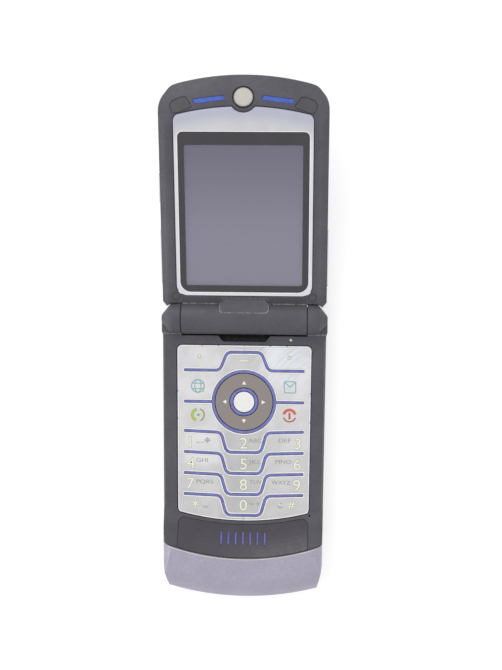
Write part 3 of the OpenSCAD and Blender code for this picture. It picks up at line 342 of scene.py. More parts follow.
def soft_touch(name="dark_shell", recess=False):
    """Warm dark grey soft-touch paint, rubbed pale along its edges. The base has a black moulded recess."""
    f = Finish(name, DARK, 0.5, specular=0.3)
    across = f.math("ABSOLUTE", f.x())
    height = f.z()
    specks = f.noise(1.1, detail=5)
    # the shell's tone: light clouds with painted shade and painted light
    colour = f.shade(DARK, shell_tone_and_shade(f, across, height))
    rub = f.product(f.edges(0.16), f.span(specks, 0.40, 0.60), 0.6)
    colour = f.mix(f.math("MAXIMUM", rub, worn_lines(f, across, height, specks)), colour, WORN)
    dust = f.product(f.span(f.cells(7.5), 0.016, 0.009), f.span(f.noise(6), 0.52, 0.56), 0.8)
    colour = f.mix(dust, colour, DUST)
    moulded = 0.0
    if recess:
        inside = f.rounded_mask(f.x(), f.minus(f.y(), RECESS_Y), RECESS_HALF, 0.4, 0.05)
        moulded = f.product(inside, f.span(height, FACE_Z - 0.05, FACE_Z - 0.25),
                            f.span(height, RECESS_FLOOR, RECESS_FLOOR + 0.4))
    f.base(f.mix(moulded, colour, f.shade(BLACK, f.vary(0.5, 2.4, 0.5))))
    f.rough(f.vary(0.44, 0.56, 2.2, detail=5))
    coarse = f.product(f.noise(0.8, detail=3), moulded, 4)
    return f.done(f.math("ADD", f.product(f.noise(0.13, detail=2), 0.4), coarse), 0.012, 0.45)


def chin_ramp():
    """The ramp before the chin, smoother and darker than the housing."""
    f = Finish("chin_ramp", PANEL_DARK, 0.38, specular=0.4)
    cloud = f.vary(0.93, 1.06, 6, detail=4)
    speck = f.vary(0.95, 1.05, 0.8, detail=3)
    rub = f.product(f.edges(0.14), f.span(f.noise(1.3, detail=5), 0.45, 0.6, 0, 0.35))
    f.base(f.mix(rub, f.shade(PANEL_DARK, f.product(cloud, speck)), WORN))
    f.rough(f.vary(0.33, 0.44, 2.5, detail=4))
    return f.done(f.noise(0.15, detail=2), 0.004, 0.3)


LAVENDER = (0.388, 0.362, 0.455)
CREAM = (0.72, 0.68, 0.60)


def lavender_paint():
    """Satin metallic paint with a fine sparkle."""
    f = Finish("lavender_paint", LAVENDER, 0.40, metallic=0.3, specular=0.4)
    sparkle = f.vary(0.90, 1.10, 0.35, detail=3)
    cloud = f.vary(0.97, 1.04, 7, detail=3)
    colour = f.shade(LAVENDER, f.product(sparkle, cloud))
    crest = f.product(f.edges(0.22, 0.985, 0.93), f.span(f.noise(3), 0.3, 0.5))
    f.base(f.mix(f.product(crest, 0.7), colour, CREAM))
    f.rough(f.vary(0.34, 0.46, 0.3))
    return f.done(f.noise(0.18, detail=2), 0.005, 0.3)


def lavender_metal():
    """Anodised aluminium plate, finely brushed."""
    colour = (0.385, 0.36, 0.445)
    f = Finish("lavender_metal", colour, 0.46, metallic=0.7, specular=0.3)
    brushed = f.noise(0.9, detail=4, stretch=(0.06, 6, 6))
    f.base(f.shade(colour, f.spread(brushed, 0.9, 1.1)))
    f.rough(f.vary(0.42, 0.50, 3))
    return f.done(brushed, 0.003, 0.15)


SILVER_SIDE, SILVER_MIDDLE_REFLECTION, SILVER_TOP_REFLECTION = (0.715, 0.705, 0.745), (0.615, 0.612, 0.635), (0.475, 0.485, 0.575)
TOP_BOW = 0.006  # bows the tone's upper border down at its middle


def silver_metal():
    """Satin silver plate, with a painted reflection that makes it dimmer and bluer towards the top of the flip."""
    f = Finish("silver_metal", SILVER_SIDE, 0.26, metallic=0.9)
    along, across = f.along_flip(), f.x()
    bowed = f.math("ADD", along, f.product(across, across, TOP_BOW))
    # painted reflection: the tone steps from the sides' colour to dimmer, bluer ones higher up the flip
    tone = f.mix(f.span(along, 56.5, 61.0), SILVER_SIDE, SILVER_MIDDLE_REFLECTION)
    tone = f.mix(f.span(bowed, 62.0, 67.5), tone, SILVER_TOP_REFLECTION)
    f.base(f.shade(tone, f.vary(0.97, 1.03, 9, detail=2)))
    f.rough(f.vary(0.23, 0.30, 4))
    return f.done(f.noise(0.5, detail=3), 0.0004)


def disc_metal():
    """Warm bright metal, turned in fine circles, on a disc let into the flip, with painted shade darkening it
    towards its rim.
    """
    low, high = mm_box("earpiece_disc")
    colour = (0.555, 0.525, 0.478)
    f = Finish("disc_metal", colour, 0.28, metallic=0.9)
    away = f.distance((low + high) / 2)
    turned_rings = f.rings(away, 0.2)
    # painted shade: the disc darkens towards its rim
    rim = f.span(away, 2.45 * MM, 2.8 * MM, 1, 0.72)
    f.base(f.shade(colour, f.product(f.spread(turned_rings, 0.95, 1.04), rim)))
    f.rough(f.vary(0.25, 0.33, 1.5))
    return f.done(turned_rings, 0.0006, 0.2)


STREAKS_FROM = (33.0, 9.5, 0)  # the streaks are arcs round this place
STREAKS_MIDDLE = (13.0, 30.0, FACE_Z)
STREAK_BLUE = (0.74, 0.83, 0.97)
GLARE = (0.84, 0.84, 0.85)


def key_metal():
    """Etched nickel sheet: soft clouds, greyer down its middle, a painted highlight at its left, a fan of fine
    streaks at one corner that are partly scratches and partly painted sheen, and a painted glare near its top.
    """
    colour = (0.690, 0.680, 0.690)
    f = Finish("key_metal", colour, 0.28, metallic=0.85)
    x, y = f.x(), f.y()
    fine = f.vary(0.98, 1.02, 0.6, detail=4, stretch=(0.3, 2, 2))
    cloud = f.vary(0.93, 1.05, 8, detail=2)
    middle = f.span(f.math("ABSOLUTE", x), 9.5, 5.0, 1, 0.86)
    down = f.span(y, -19, 26, 0.88, 1.03)
    # painted highlight: a soft bright patch at the left of the keypad
    glow = f.span(f.product(f.line(x, -13, 4), f.line(y, 2, 4)), 0, 1, 1, 1.14)
    shade = f.shade(colour, f.product(fine, cloud, middle, down, glow))
    # the streaks are partly fine scratches and partly painted sheen
    lines = f.rings(f.distance(STREAKS_FROM, flat=True), 0.85, detail=4)
    fan = f.span(f.distance(STREAKS_MIDDLE), 12.0 * MM, 4.0 * MM)
    streak = f.product(f.span(lines, 0.46, 0.58), fan, f.span(f.noise(5), 0.25, 0.5), 0.7)
    shade = f.mix(streak, shade, STREAK_BLUE)
    # painted glare: a pale diagonal band near the top of the keypad
    glare = f.product(f.line(f.minus(x, f.product(y, 0.35)), -2.4, 1.6), f.span(y, 24, 30), 0.45)
    f.base(f.mix(glare, shade, GLARE))
    f.rough(f.vary(0.25, 0.33, 2.5, detail=4))
    return f.done(f.noise(0.6, detail=3), 0.0006)


def rim_metal(name, colour, rough=0.22):
    """The polished, slightly raised rim of a cut edge."""
    f = Finish(name, colour, rough, metallic=0.85)
    f.base(f.shade(colour, f.vary(0.94, 1.05, 1.6, detail=3)))
    return f.done(f.noise(0.3), 0.0005)


def blue_keymat():
    """Cloudy blue silicone, which fills the grooves between the keys."""
    colour = (0.172, 0.184, 0.455)
    f = Finish("blue_keymat", colour, 0.40, specular=0.35)
    f.base(f.shade(colour, f.vary(0.86, 1.16, 2.4, detail=3)))
    f.set(Subsurface_Weight=0.2, Subsurface_Radius=(0.0005, 0.0006, 0.0012))
    return f.done(f.noise(0.25), 0.006, 0.15)


def blue_insert(name="blue_insert", colour=(0.060, 0.118, 0.50)):
    """Deep blue translucent plastic, with painted shadow darkening it along its edges."""
    f = Finish(name, colour, 0.3, specular=0.4)
    cloud = f.vary(0.88, 1.12, 1.8, detail=3)
    # painted shadow: darker near its edges
    f.base(f.shade(colour, f.product(cloud, f.span(f.edges(0.2), 0, 1, 1, 0.55))))
    f.set(Subsurface_Weight=0.15, Subsurface_Radius=(0.0003, 0.0004, 0.001))
    return f.done(f.noise(0.4), 0.006)


def nav_finish():
    """Warm grey metal, turned in fine circles round the select button."""
    colour = (0.275, 0.246, 0.230)
    f = Finish("nav_finish", colour, 0.36, metallic=0.5, specular=0.3)
    turned_rings = f.rings(f.distance((NAV.x, NAV.y, 0), flat=True), 0.12)
    f.base(f.mix(f.product(f.edges(0.2), 0.5), f.shade(colour, f.spread(turned_rings, 0.95, 1.06)),
                 (0.5, 0.46, 0.42)))
    f.rough(f.vary(0.32, 0.42, 1.5))
    return f.done(turned_rings, 0.001, 0.12)


def plain_plastic(name, colour, rough, specular=0.5, vary=0.06, grain=0.2, depth=0.004, metallic=0.0):
    """A moulded or machined finish with a light cloud and a fine grain."""
    f = Finish(name, colour, rough, metallic=metallic, specular=specular)
    f.base(f.shade(colour, f.vary(1 - vary, 1 + vary, 2.5, detail=4)))
    f.rough(f.vary(rough * 0.88, min(1, rough * 1.12), 1.2, detail=3))
    return f.done(f.noise(grain, detail=2), depth, 0.12)


def circuit_board():
    """Green solder mask over copper tracks."""
    green = (0.012, 0.11, 0.045)
    f = Finish("circuit_board", green, 0.35)
    cells = f.cells(2.2, "MANHATTAN")
    tracks = f.span(f.math("FRACT", f.product(cells, 6)), 0.42, 0.5)
    f.base(f.mix(f.product(tracks, 0.5), green, (0.03, 0.2, 0.06)))
    return f.done(tracks, 0.01)


def battery_wrap():
    """Dark printed film, bare of words, with a paler band along one edge."""
    dark = (0.055, 0.058, 0.07)
    f = Finish("battery_wrap", dark, 0.4)
    low, high = mm_box("battery")
    band = f.span(f.y(), high.y - 5.2, high.y - 5)
    colour = f.mix(f.product(band, 0.8), dark, (0.3, 0.31, 0.34))
    f.base(f.shade(colour, f.vary(0.94, 1.06, 3)))
    return f.done(f.noise(1.4), 0.01, 0.3)


LCD_TOP = (0.226, 0.212, 0.293)
LCD_FOOT = (0.340, 0.330, 0.418)


# Painted sheen: the display's colour grows paler from its top towards its foot.
def display_sheen_tone(f):
    low, high = mm_box("main_lcd")
    return f.mix(f.span(f.y(), (3 * low.y + high.y) / 4, high.y), LCD_FOOT, LCD_TOP)


PIXELS = 4.5  # pixels to the millimetre


def screen():
    """A sleeping display: bluish grey, with a painted sheen that makes it a little paler at its foot, over a very
    fine pixel grid.
    """
    f = Finish("screen", LCD_FOOT, 0.32)
    grid = [f.span(f.math("FRACT", f.product(way, PIXELS)), 0.86, 0.95) for way in (f.x(), f.y())]
    grid = f.minus(1, f.product(f.math("MAXIMUM", *grid), 0.05))
    f.base(f.shade(display_sheen_tone(f), f.product(grid, f.vary(0.97, 1.03, 14, detail=2))))
    return f.done(f.noise(0.5), 0.001)


BORDER = (0.036, 0.033, 0.040)
SIGHT_HALF = (18.52, 22.66)  # the clear part of the display window
SIGHT_ALONG = 33.94
OUTER_SIGHT_HALF = (9.6, 7.4)
SIGHT_PAINTED_SHARE = 0.5  # how much of the display the painted copy of its colour on the acrylic hides


def clear_window(name, middle_x, along, half, radius):
    """Acrylic over a printed dark border. Its clear part shows the display partly hidden by a painted copy of the
    display's colour and sheen on the acrylic, which lessens the shadow of the border on the display.
    """
    f = Finish(name, BORDER, 0.12)
    sight = f.rounded_mask(f.minus(f.x(), middle_x), along(f), half, radius, 0.04)
    # painted light: the clear part carries the display's colour and painted sheen, which lessens the border's
    # shadow on the display
    f.base(f.mix(sight, f.shade(BORDER, f.vary(0.93, 1.07, 5, detail=3)), display_sheen_tone(f)))
    f.rough(f.vary(0.09, 0.15, 6))
    f.set(Alpha=f.span(sight, 0, 1, 1, SIGHT_PAINTED_SHARE))
    f.material.surface_render_method = "BLENDED"
    return f.done(f.noise(8, detail=1), 0.002, 0.15)


def main_window():
    return clear_window("window_glass", 0.0, lambda f: f.minus(f.along_flip(), SIGHT_ALONG),
                        SIGHT_HALF, 0.7)


def outer_window():
    low, high = mm_box("outer_window_pane")
    middle = (low + high) / 2
    return clear_window("outer_window_glass", middle.x, lambda f: f.minus(f.y(), middle.y),
                        OUTER_SIGHT_HALF, 0.6)


def lens_glass():
    """Dark coated lens."""
    f = Finish("lens_glass", (0.012, 0.012, 0.02), 0.04)
    f.base(f.shade((0.014, 0.012, 0.026), f.vary(0.8, 1.3, 1.5)))
    f.set(Coat_Weight=1.0, Coat_Roughness=0.03)
    return f.done(f.noise(2), 0.001)


PLAIN = {  # colour, roughness, and what is special
    "white_button": ((0.80, 0.80, 0.79), 0.25, {"vary": 0.02}),
    "bright_steel": ((0.56, 0.555, 0.545), 0.36, {"metallic": 0.8}),
    "spring_steel": ((0.60, 0.60, 0.61), 0.32, {"vary": 0.08, "metallic": 1.0}),
    "antenna_plastic": ((0.20, 0.20, 0.18), 0.5, {}),
    "black_rubber": ((0.080, 0.077, 0.084), 0.62, {"specular": 0.3, "grain": 0.15, "depth": 0.008}),
}


def make_finishes():
    """The record's material slots, each with its Blender material."""
    return {
        "dark_shell": soft_touch(),
        "lavender_paint": lavender_paint(),
        "lavender_metal": lavender_metal(),
        "silver_metal": silver_metal(),
        "key_metal": key_metal(),
        "blue_keymat": blue_keymat(),
        "blue_insert": blue_insert(),
        "nav_finish": nav_finish(),
        "circuit_board": circuit_board(),
        "battery_wrap": battery_wrap(),
        "screen": screen(),
        "window_glass": main_window(),
        "lens_glass": lens_glass(),
        **{name: plain_plastic(name, colour, rough, **more) for name, (colour, rough, more) in PLAIN.items()},
    }


def dress_nodes(finishes):
    """Gives each CAD node the material of its record slot."""
    own = {"front_housing": soft_touch("dark_shell_base", recess=True), "outer_window_pane": outer_window(),
           "earpiece_disc": disc_metal(), "chin_panel": chin_ramp(),
           "chin_inserts": blue_insert("chin_slot_blue", (0.120, 0.125, 0.42)),
           "camera_ring": plain_plastic("camera_ring_metal", (0.38, 0.38, 0.39), 0.45, metallic=0.7)}
    for part in frame["record"]["subparts"]:
        name = part["node"]
        NODES[name].data.materials.clear()
        NODES[name].data.materials.append(own.get(name) or finishes[part["material_slot"]])


# ---- printed legends ----

PRINT = 0.012  # how proud the print stands
UNDER = 0.002  # the gap between the print and its face
STEEPEST_MITRE = 0.35  # keeps the corners of a line or rim from running far out


def ink(name, colour):
    return plain_plastic(name, colour, 0.4, vary=0.05, grain=0.1, depth=0.002)


class Print:
    """Flat printed shapes on one piece, gathered into one mesh with several inks."""

    def __init__(self, name, inks, z):
        self.name, self.inks, self.z = name, inks, z
        self.mesh = bmesh.new()

    def layers(self, points, lift):
        """Vertices under and on top of the print over each point."""
        return [[self.mesh.verts.new(Vector((*point, self.z + up)) * MM) for point in points]
                for up in (UNDER, PRINT + lift)]

    def fill(self, faces, which):
        for corners in faces:
            self.mesh.faces.new(corners).material_index = which

    def polygon(self, points, which, lift=0.0):
        """A thin closed plate with the given outline."""
        low, high = self.layers(points, lift)
        sides = [(low[i - 1], low[i], high[i], high[i - 1]) for i in range(len(points))]
        self.fill([high, low[::-1], *sides], which)

    def stroke(self, path, width, which, closed=False, lift=0.0):
        """A line of even width along a path, as one thin plate with mitred joints."""
        points = [Vector(p) for p in path]
        count = len(points)
        sides = []
        for i, point in enumerate(points):
            first = (point - points[i - 1]).normalized() if i or closed else None
            last = (points[(i + 1) % count] - point).normalized() if i < count - 1 or closed else None
            first, last = first or last, last or first
            normal = Vector((-(first + last).y, (first + last).x)).normalized()
            reach = width / 2 / max(STEEPEST_MITRE, normal.dot(Vector((-first.y, first.x))))
            sides += [point + normal * reach, point - normal * reach]
        low, high = self.layers(sides, lift)
        cuts = [(low[i], low[i + 1], high[i + 1], high[i]) for i in range(0, 2 * count, 2)]
        faces = [] if closed else [cuts[0], cuts[-1]]
        for a, b in zip(cuts, cuts[1:] + cuts[:1] if closed else cuts[1:]):
            faces += [(a[k - 1], a[k], b[k], b[k - 1]) for k in range(4)]
        self.fill(faces, which)

    def text(self, body, centre, height, which, grow=0.0, lift=0.0, width=None, slim=1.0):
        """Characters whose capitals are height tall, centred, and grown outwards by grow.

        They are width wide in all where it is given, and else slim times as wide as the font has them.
        """
        curve = bpy.data.curves.new("glyph", "FONT")
        curve.resolution_u = 3
        glyph = add_object("glyph", curve)
        boxes = []
        for words in ("H", body):
            curve.body = words
            bpy.context.view_layer.update()
            boxes.append(list(zip(*glyph.bound_box)))
        capital = max(boxes[0][1])
        low, high = min(boxes[1][0]), max(boxes[1][0])
        scale = height / capital
        stretch = width / (high - low) / scale if width else slim
        half_thick = (PRINT + lift - UNDER) / 2
        curve.offset = grow / scale
        curve.extrude = half_thick / scale
        bpy.context.view_layer.update()
        shape = bpy.data.meshes.new_from_object(glyph.evaluated_get(bpy.context.evaluated_depsgraph_get()))
        shift = Vector((-(low + high) / 2, -capital / 2, 0))
        middle = Vector((*centre, self.z + UNDER + half_thick))
        for vertex in shape.vertices:
            at = (vertex.co + shift) * scale
            vertex.co = (Vector((at.x * stretch, at.y, at.z)) + middle) * MM
        for face in shape.polygons:
            face.material_index = which
        self.mesh.from_mesh(shape)
        bpy.data.meshes.remove(shape)
        bpy.data.objects.remove(glyph)
        bpy.data.curves.remove(curve)

    def done(self, body, slot):
        add_piece(self.name, mesh_data(self.name, self.mesh), self.inks, body, slot)


def arc(centre, radius, start=0, end=360, steps=24):
    """Points of an arc, with angles in degrees. A full turn leaves out its last point."""
    full = abs(end - start) >= 360
    count = steps if full else steps + 1
    angles = [math.radians(start + (end - start) * i / steps) for i in range(count)]
    return [(centre[0] + radius * math.cos(a), centre[1] + radius * math.sin(a)) for a in angles]


PALE, LINE, TINT, SECOND, GREY, SHADOW = range(6)  # the inks of a key's legend
STEP = 0.0007  # crossing strokes lie this far over each other
OVER = 0.006  # and a pale stroke this far over its outline
OUTLINE = 0.15  # width of the darker line round a digit
DIGIT_H = 3.55
DIGIT_SLIM = 1.08
LETTER_H = 1.3
LETTER_BOLD = 0.035  # letters are printed twice, this far to each side
DIGITS = {  # the middle of each digit
    "1": (-17.6, 3.4), "2": (0.0, 3.3), "3": (17.7, 3.4),
    "4": (-17.3, -3.5), "5": (0.0, -3.6), "6": (17.6, -3.5),
    "7": (-17.5, -10.4), "8": (0.0, -10.55), "9": (17.5, -10.45), "0": (0.0, -17.4),
}
LETTERS = {  # by digit: the letters, their two ends, and their height
    "2": ("ABC", 1.55, 5.9, 4.25), "3": ("DEF", 11.4, 15.5, 4.4), "4": ("GHI", -15.6, -11.7, -2.5),
    "5": ("JKL", 1.6, 5.8, -2.9), "6": ("MNO", 10.4, 15.6, -2.7), "7": ("PQRS", -15.5, -9.9, -9.7),
    "8": ("TUV", 1.9, 6.0, -9.6), "9": ("WXYZ", 9.2, 15.4, -9.65),
}


def digit(face, body, centre):
    """A pale digit with a darker outline."""
    face.text(body, centre, DIGIT_H, LINE, grow=OUTLINE, slim=DIGIT_SLIM)
    face.text(body, centre, DIGIT_H, PALE, lift=OVER, slim=DIGIT_SLIM)


def letters(face, body, left, right, y):
    for i, shift in enumerate((-LETTER_BOLD, LETTER_BOLD)):
        face.text(body, ((left + right) / 2 + shift, y), LETTER_H, GREY, lift=i * 0.001,
                  width=right - left - 2 * LETTER_BOLD)


def globe(face, centre, radius):
    x, y = centre
    line, thin = 0.42, 0.42 * 0.8
    rim = arc(centre, radius)
    face.stroke(rim, line, TINT, closed=True)
    face.stroke([(x + 0.48 * (across - x), up) for across, up in rim], thin, TINT, closed=True, lift=0.002)
    for up in (-0.42, 0.42):
        half = radius * math.sqrt(1 - up * up)
        face.stroke([(x - half, y + up * radius), (x + half, y + up * radius)], thin, TINT, lift=0.004)
    face.polygon(arc((x + radius * 0.9, y - radius * 0.85), 0.24, steps=12), SECOND)


def envelope(face, centre, half):
    x, y = centre
    line, corner, inset = 0.36, 0.45, 0.1
    outline = []
    for across, up, start in ((1, 1, 0), (-1, 1, 90), (-1, -1, 180), (1, -1, 270)):
        middle = (x + across * (half - corner), y + up * (half - corner))
        outline += arc(middle, corner, start, start + 90, 4)
    face.stroke(outline, line, TINT, closed=True)
    high = y + half - inset
    face.stroke([(x - half + inset, high), (x, y), (x + half - inset, high)], line, TINT, lift=0.003)


def send_mark(face, centre, radius):
    """A yellow-green ring, heavier on the left, round a dot."""
    face.stroke(arc(centre, radius * 0.78, 100, 252, 16), radius * 0.44, TINT)
    face.stroke(arc(centre, radius * 0.88, -66, 70, 16), radius * 0.20, SECOND)
    dot = (centre[0] + 0.15, centre[1])
    face.polygon(arc(dot, radius * 0.22, steps=4), SECOND)
    face.polygon(arc(dot, radius * 0.15, steps=12), SECOND, lift=0.003)


def end_mark(face, centre, radius):
    """A red ring, heavier at the top, round an upright bar."""
    x, y = centre
    face.stroke(arc(centre, radius * 0.80, 12, 168, 16), radius * 0.40, TINT)
    face.stroke(arc(centre, radius * 0.86, 198, 342, 16), radius * 0.19, SECOND)
    face.stroke([(x, y - radius * 0.52), (x, y + radius * 0.42)], 0.62, SECOND)


def crossed(face, lines, outer, inner):
    """Pale strokes with a darker outline, as the digits have."""
    for width, which, lift in ((outer, LINE, 0), (inner, PALE, OVER)):
        for i, path in enumerate(lines):
            face.stroke(path, width, which, lift=lift + i * STEP)


def star_mark(face, centre, size):
    ends = arc(centre, size, 90, 450, 6)
    crossed(face, [(ends[i - 3], ends[i]) for i in (0, 2, 4)], 0.62, 0.40)


def hash_mark(face, centre, size):
    x, y = centre
    lean, apart = size * 0.22, size * 0.36
    lines = [[(x + s - lean, y - size), (x + s + lean, y + size)] for s in (-apart, apart)]
    lines += [[(x - size, y + s), (x + size, y + s)] for s in (-apart, apart)]
    crossed(face, lines, 0.60, 0.38)


SMALL_LINES = {  # by key: the width, lift and path of each grey line, and True for a ring
    "key_1": [(0.26, 0, [(-15.5, 3.4), (-14.5, 3.4)]), (0.24, 0, arc((-11.9, 4.15), 0.62, steps=14), True),
              (0.2, 0.002, [(-13.0, 4.15), (-10.8, 4.15)]), (0.2, 0.004, [(-11.9, 3.2), (-11.9, 5.1)])],
    "key_star": [(0.28, 0, arc((-12.4, -17.3), 1.0, 215, 325, 10))],
    "key_0": [(0.26, 0, arc((2.9, -16.5), 0.6, 190, 350, 10)), (0.24, 0, [(4.2, -16.9), (5.4, -16.9)]),
              (0.24, 0.003, [(4.8, -16.2), (4.8, -17.6)])],
    "key_hash": [(0.3, 0, arc((12.2, -17.3), 0.75, 60, 330, 14))],
}
SMALL_DOTS = {  # by key: the middle, radius, ink and lift of each dot
    "key_1": [((-13.9, 3.4), 0.19, GREY, 0), ((-13.2, 3.4), 0.19, GREY, 0)],
    "key_hash": [((11.8, -16.9), 0.34, PALE, 0.004)],
}


NIBS = {  # where each etched sheet was snapped from its frame
    "key_left_soft": [(-13.8, 35.4), (-8.5, 35.4)], "key_right_soft": [(8.4, 35.4), (13.9, 35.4)],
    "key_browser": [(-21.66, 20.3)], "key_message": [(21.66, 19.9)],
    "key_send": [(-21.62, 11.3)], "key_end": [(21.62, 10.4)],
}
SIGNS = {  # a drawing, its middle and its size
    "key_star": (star_mark, (-15.8, -17.15), 1.15), "key_hash": (hash_mark, (15.8, -17.2), 1.2),
    "key_browser": (globe, (-15.09, 22.05), 2.1), "key_message": (envelope, (14.97, 22.01), 1.85),
    "key_send": (send_mark, (-15.07, 12.49), 2.35), "key_end": (end_mark, (14.89, 12.65), 2.35),
}
SOFT_DOTS = {"key_left_soft": (-14.6, 31.8), "key_right_soft": (14.7, 31.7)}
MENU_BAR_Y = 30.46


def make_legends():
    pale = ink("pale_ink", (0.82, 0.81, 0.69))
    line = ink("outline_ink", (0.36, 0.37, 0.30))
    grey = ink("grey_ink", (0.33, 0.35, 0.29))
    shadow = ink("nib_shadow", (0.06, 0.06, 0.065))
    own = {"key_send": (ink("lime_ink", (0.33, 0.52, 0.10)), ink("olive_ink", (0.24, 0.36, 0.10))),
           "key_end": (ink("red_ink", (0.58, 0.125, 0.075)), ink("dark_red_ink", (0.42, 0.075, 0.05)))}
    usual = ink("teal_ink", (0.265, 0.455, 0.46)), ink("amber_ink", (0.62, 0.36, 0.20))
    for key in KEYS:
        name = key[4:]
        face = Print("legend_" + name, [pale, line, *own.get(key, usual), grey, shadow], FACE_Z)
        if name in DIGITS:
            digit(face, name, DIGITS[name])
        if name in LETTERS:
            letters(face, *LETTERS[name])
        for width, lift, path, *closed in SMALL_LINES.get(key, []):
            face.stroke(path, width, GREY, bool(closed), lift)
        for middle, radius, which, lift in SMALL_DOTS.get(key, []):
            face.polygon(arc(middle, radius, steps=10), which, lift)
        for nib in NIBS.get(key, []):
            face.polygon(arc(nib, 0.2, steps=8), SHADOW, lift=0.01)
        if key in SIGNS:
            draw, *place = SIGNS[key]
            draw(face, *place)
        elif key == "key_menu":
            for half, width, which, lift in ((1.65, 0.72, LINE, 0.0), (1.55, 0.5, PALE, OVER)):
                face.stroke([(-half, MENU_BAR_Y), (half, MENU_BAR_Y)], width, which, lift=lift)
        elif key in SOFT_DOTS:
            face.polygon(arc(SOFT_DOTS[key], 0.62, steps=16), LINE)
            face.polygon(arc(SOFT_DOTS[key], 0.44, steps=16), PALE, lift=OVER)
        face.done(key, "white_button")


def make_arrows():
    """Four small white arrowheads on the navigation ring."""
    white = ink("arrow_ink", (0.88, 0.87, 0.84))
    face = Print("nav_arrows", [white], NAV_TOP)
    reach, half, tall = 6.25, 0.68, 1.2
    for across, up in ((1, 0), (0, 1), (-1, 0), (0, -1)):
        out, side = Vector((across, up)), Vector((-up, across))
        tip, foot = (NAV.xy + out * (reach + share * tall) for share in (0.6, -0.4))
        face.polygon([tip, foot + side * half, foot - side * half], 0)
    face.done("nav_ring", "white_button")


# ---- rims of the cut edges ----

RIM_BANDS = (  # distances in from the edge, heights there, and the material
    (0.0, 0.30, (0.002, 0.008), 0),
    (0.30, 0.34, (0.008, 0.003), 0),
    (0.34, 0.44, (0.003, 0.002), 1),  # a thin grey line inside the rim
)
SEAM = 0.16  # key areas nearer than this to each other meet in a seam
SAMPLE_STEP = 0.08  # spacing of the points that look for such neighbours
WEB_REACH = 0.098  # a web spans the seam but for a hair


def face_loops(node, facing, steep=0.99):
    """Closed outlines of a node's faces that look in a direction, each with its face on the left.

    An outline is a list of points, each with the normal of the face beside the edge that starts there.
    """
    mesh = bmesh.new()
    mesh.from_mesh(NODES[node].data)
    bmesh.ops.remove_doubles(mesh, verts=mesh.verts, dist=1e-6)
    facing_us = {f for f in mesh.faces if f.normal.dot(facing) > steep}
    follow = {}
    for face in facing_us:
        for corner in face.loops:
            if sum(f in facing_us for f in corner.edge.link_faces) == 1:
                follow[corner.vert] = (corner.link_loop_next.vert, face.normal.copy())
    loops = []
    while follow:
        start, (at, normal) = follow.popitem()
        loop = [(start.co / MM, normal)]
        while at is not start and at in follow:
            here = at
            at, normal = follow.pop(here)
            loop.append((here.co / MM, normal))
        if len(loop) > 2 and at is start:
            loops.append(loop)
    mesh.free()
    return loops


def set_in(loop, reach, lift):
    """An outline moved inwards over its faces and lifted off them."""
    moved = []
    for i, (point, normal) in enumerate(loop):
        last, last_normal = loop[i - 1]
        before = last_normal.cross(point - last).normalized()
        after = normal.cross(loop[(i + 1) % len(loop)][0] - point).normalized()
        over = (before + after) * (reach / max(STEEPEST_MITRE, 1 + before.dot(after)))
        moved.append(point + over + (normal + last_normal).normalized() * lift)
    return moved


class Sheet:
    """A thin piece made of flat faces."""

    def __init__(self, name, *materials):
        self.name, self.materials = name, materials
        self.points, self.faces, self.inks = [], [], []

    def face(self, corners, which=0):
        first = len(self.points)
        self.points += [tuple(c * MM) for c in corners]
        self.faces.append(tuple(range(first, first + len(corners))))
        self.inks.append(which)

    def band(self, loop, start, end, lifts, which, keep):
        """A strip over a face between two distances in from its outline."""
        outer, inner = set_in(loop, start, lifts[0]), set_in(loop, end, lifts[1])
        for i in range(len(loop)):
            j = (i + 1) % len(loop)
            if keep(loop[i][0], loop[j][0]):
                self.face((outer[i], outer[j], inner[j], inner[i]), which)

    def done(self, body, slot):
        data = bpy.data.meshes.new(self.name)
        data.from_pydata(self.points, [], self.faces)
        add_piece(self.name, data, self.materials, body, slot)
        for face, which in zip(data.polygons, self.inks):
            face.material_index = which


def make_key_rims(finishes):
    """Polished rims round the keys, and the thin webs that carry the sheet's face across the seams."""
    up = Vector((0, 0, 1))
    keys = sorted(KEYS)
    outlines = {key: face_loops(key, up) for key in keys}
    samples = []
    for rank, key in enumerate(keys):
        for loop in outlines[key]:
            for i, (point, _) in enumerate(loop):
                to = loop[(i + 1) % len(loop)][0]
                steps = max(1, int((to - point).length / SAMPLE_STEP))
                samples += [(point.lerp(to, k / steps), rank) for k in range(steps)]
    tree = KDTree(len(samples))
    for i, (point, rank) in enumerate(samples):
        tree.insert(point, i)
    tree.balance()
    polished = rim_metal("key_rim", (0.86, 0.86, 0.855))
    grey = rim_metal("key_rim_line", (0.47, 0.46, 0.455), 0.35)
    for rank, key in enumerate(keys):
        sheet = Sheet("rim_" + key[4:], polished, grey, finishes["key_metal"])

        def neighbour(a, b):
            """The rank of a key across the seam from the middle of an edge."""
            ranks = (samples[i][1] for _, i, _ in tree.find_range((a + b) / 2, SEAM))
            return next((other for other in ranks if other != rank), None)

        def open_edge(a, b):
            return neighbour(a, b) is None
        for loop in outlines[key]:
            for band in RIM_BANDS:
                sheet.band(loop, *band, open_edge)
            web = set_in(loop, -WEB_REACH, 0)
            for i, (point, _) in enumerate(loop):
                j = (i + 1) % len(loop)
                other = neighbour(point, loop[j][0])
                if other is not None and rank < other:
                    sheet.face((web[i], web[j], loop[j][0], point), 2)
        sheet.done(key, "key_metal")


BEZEL_HALF = 21.1  # half width of the bezel's part round the display window
BEZEL_SPAN = (8.4, 62)  # and its foot and top along the flip


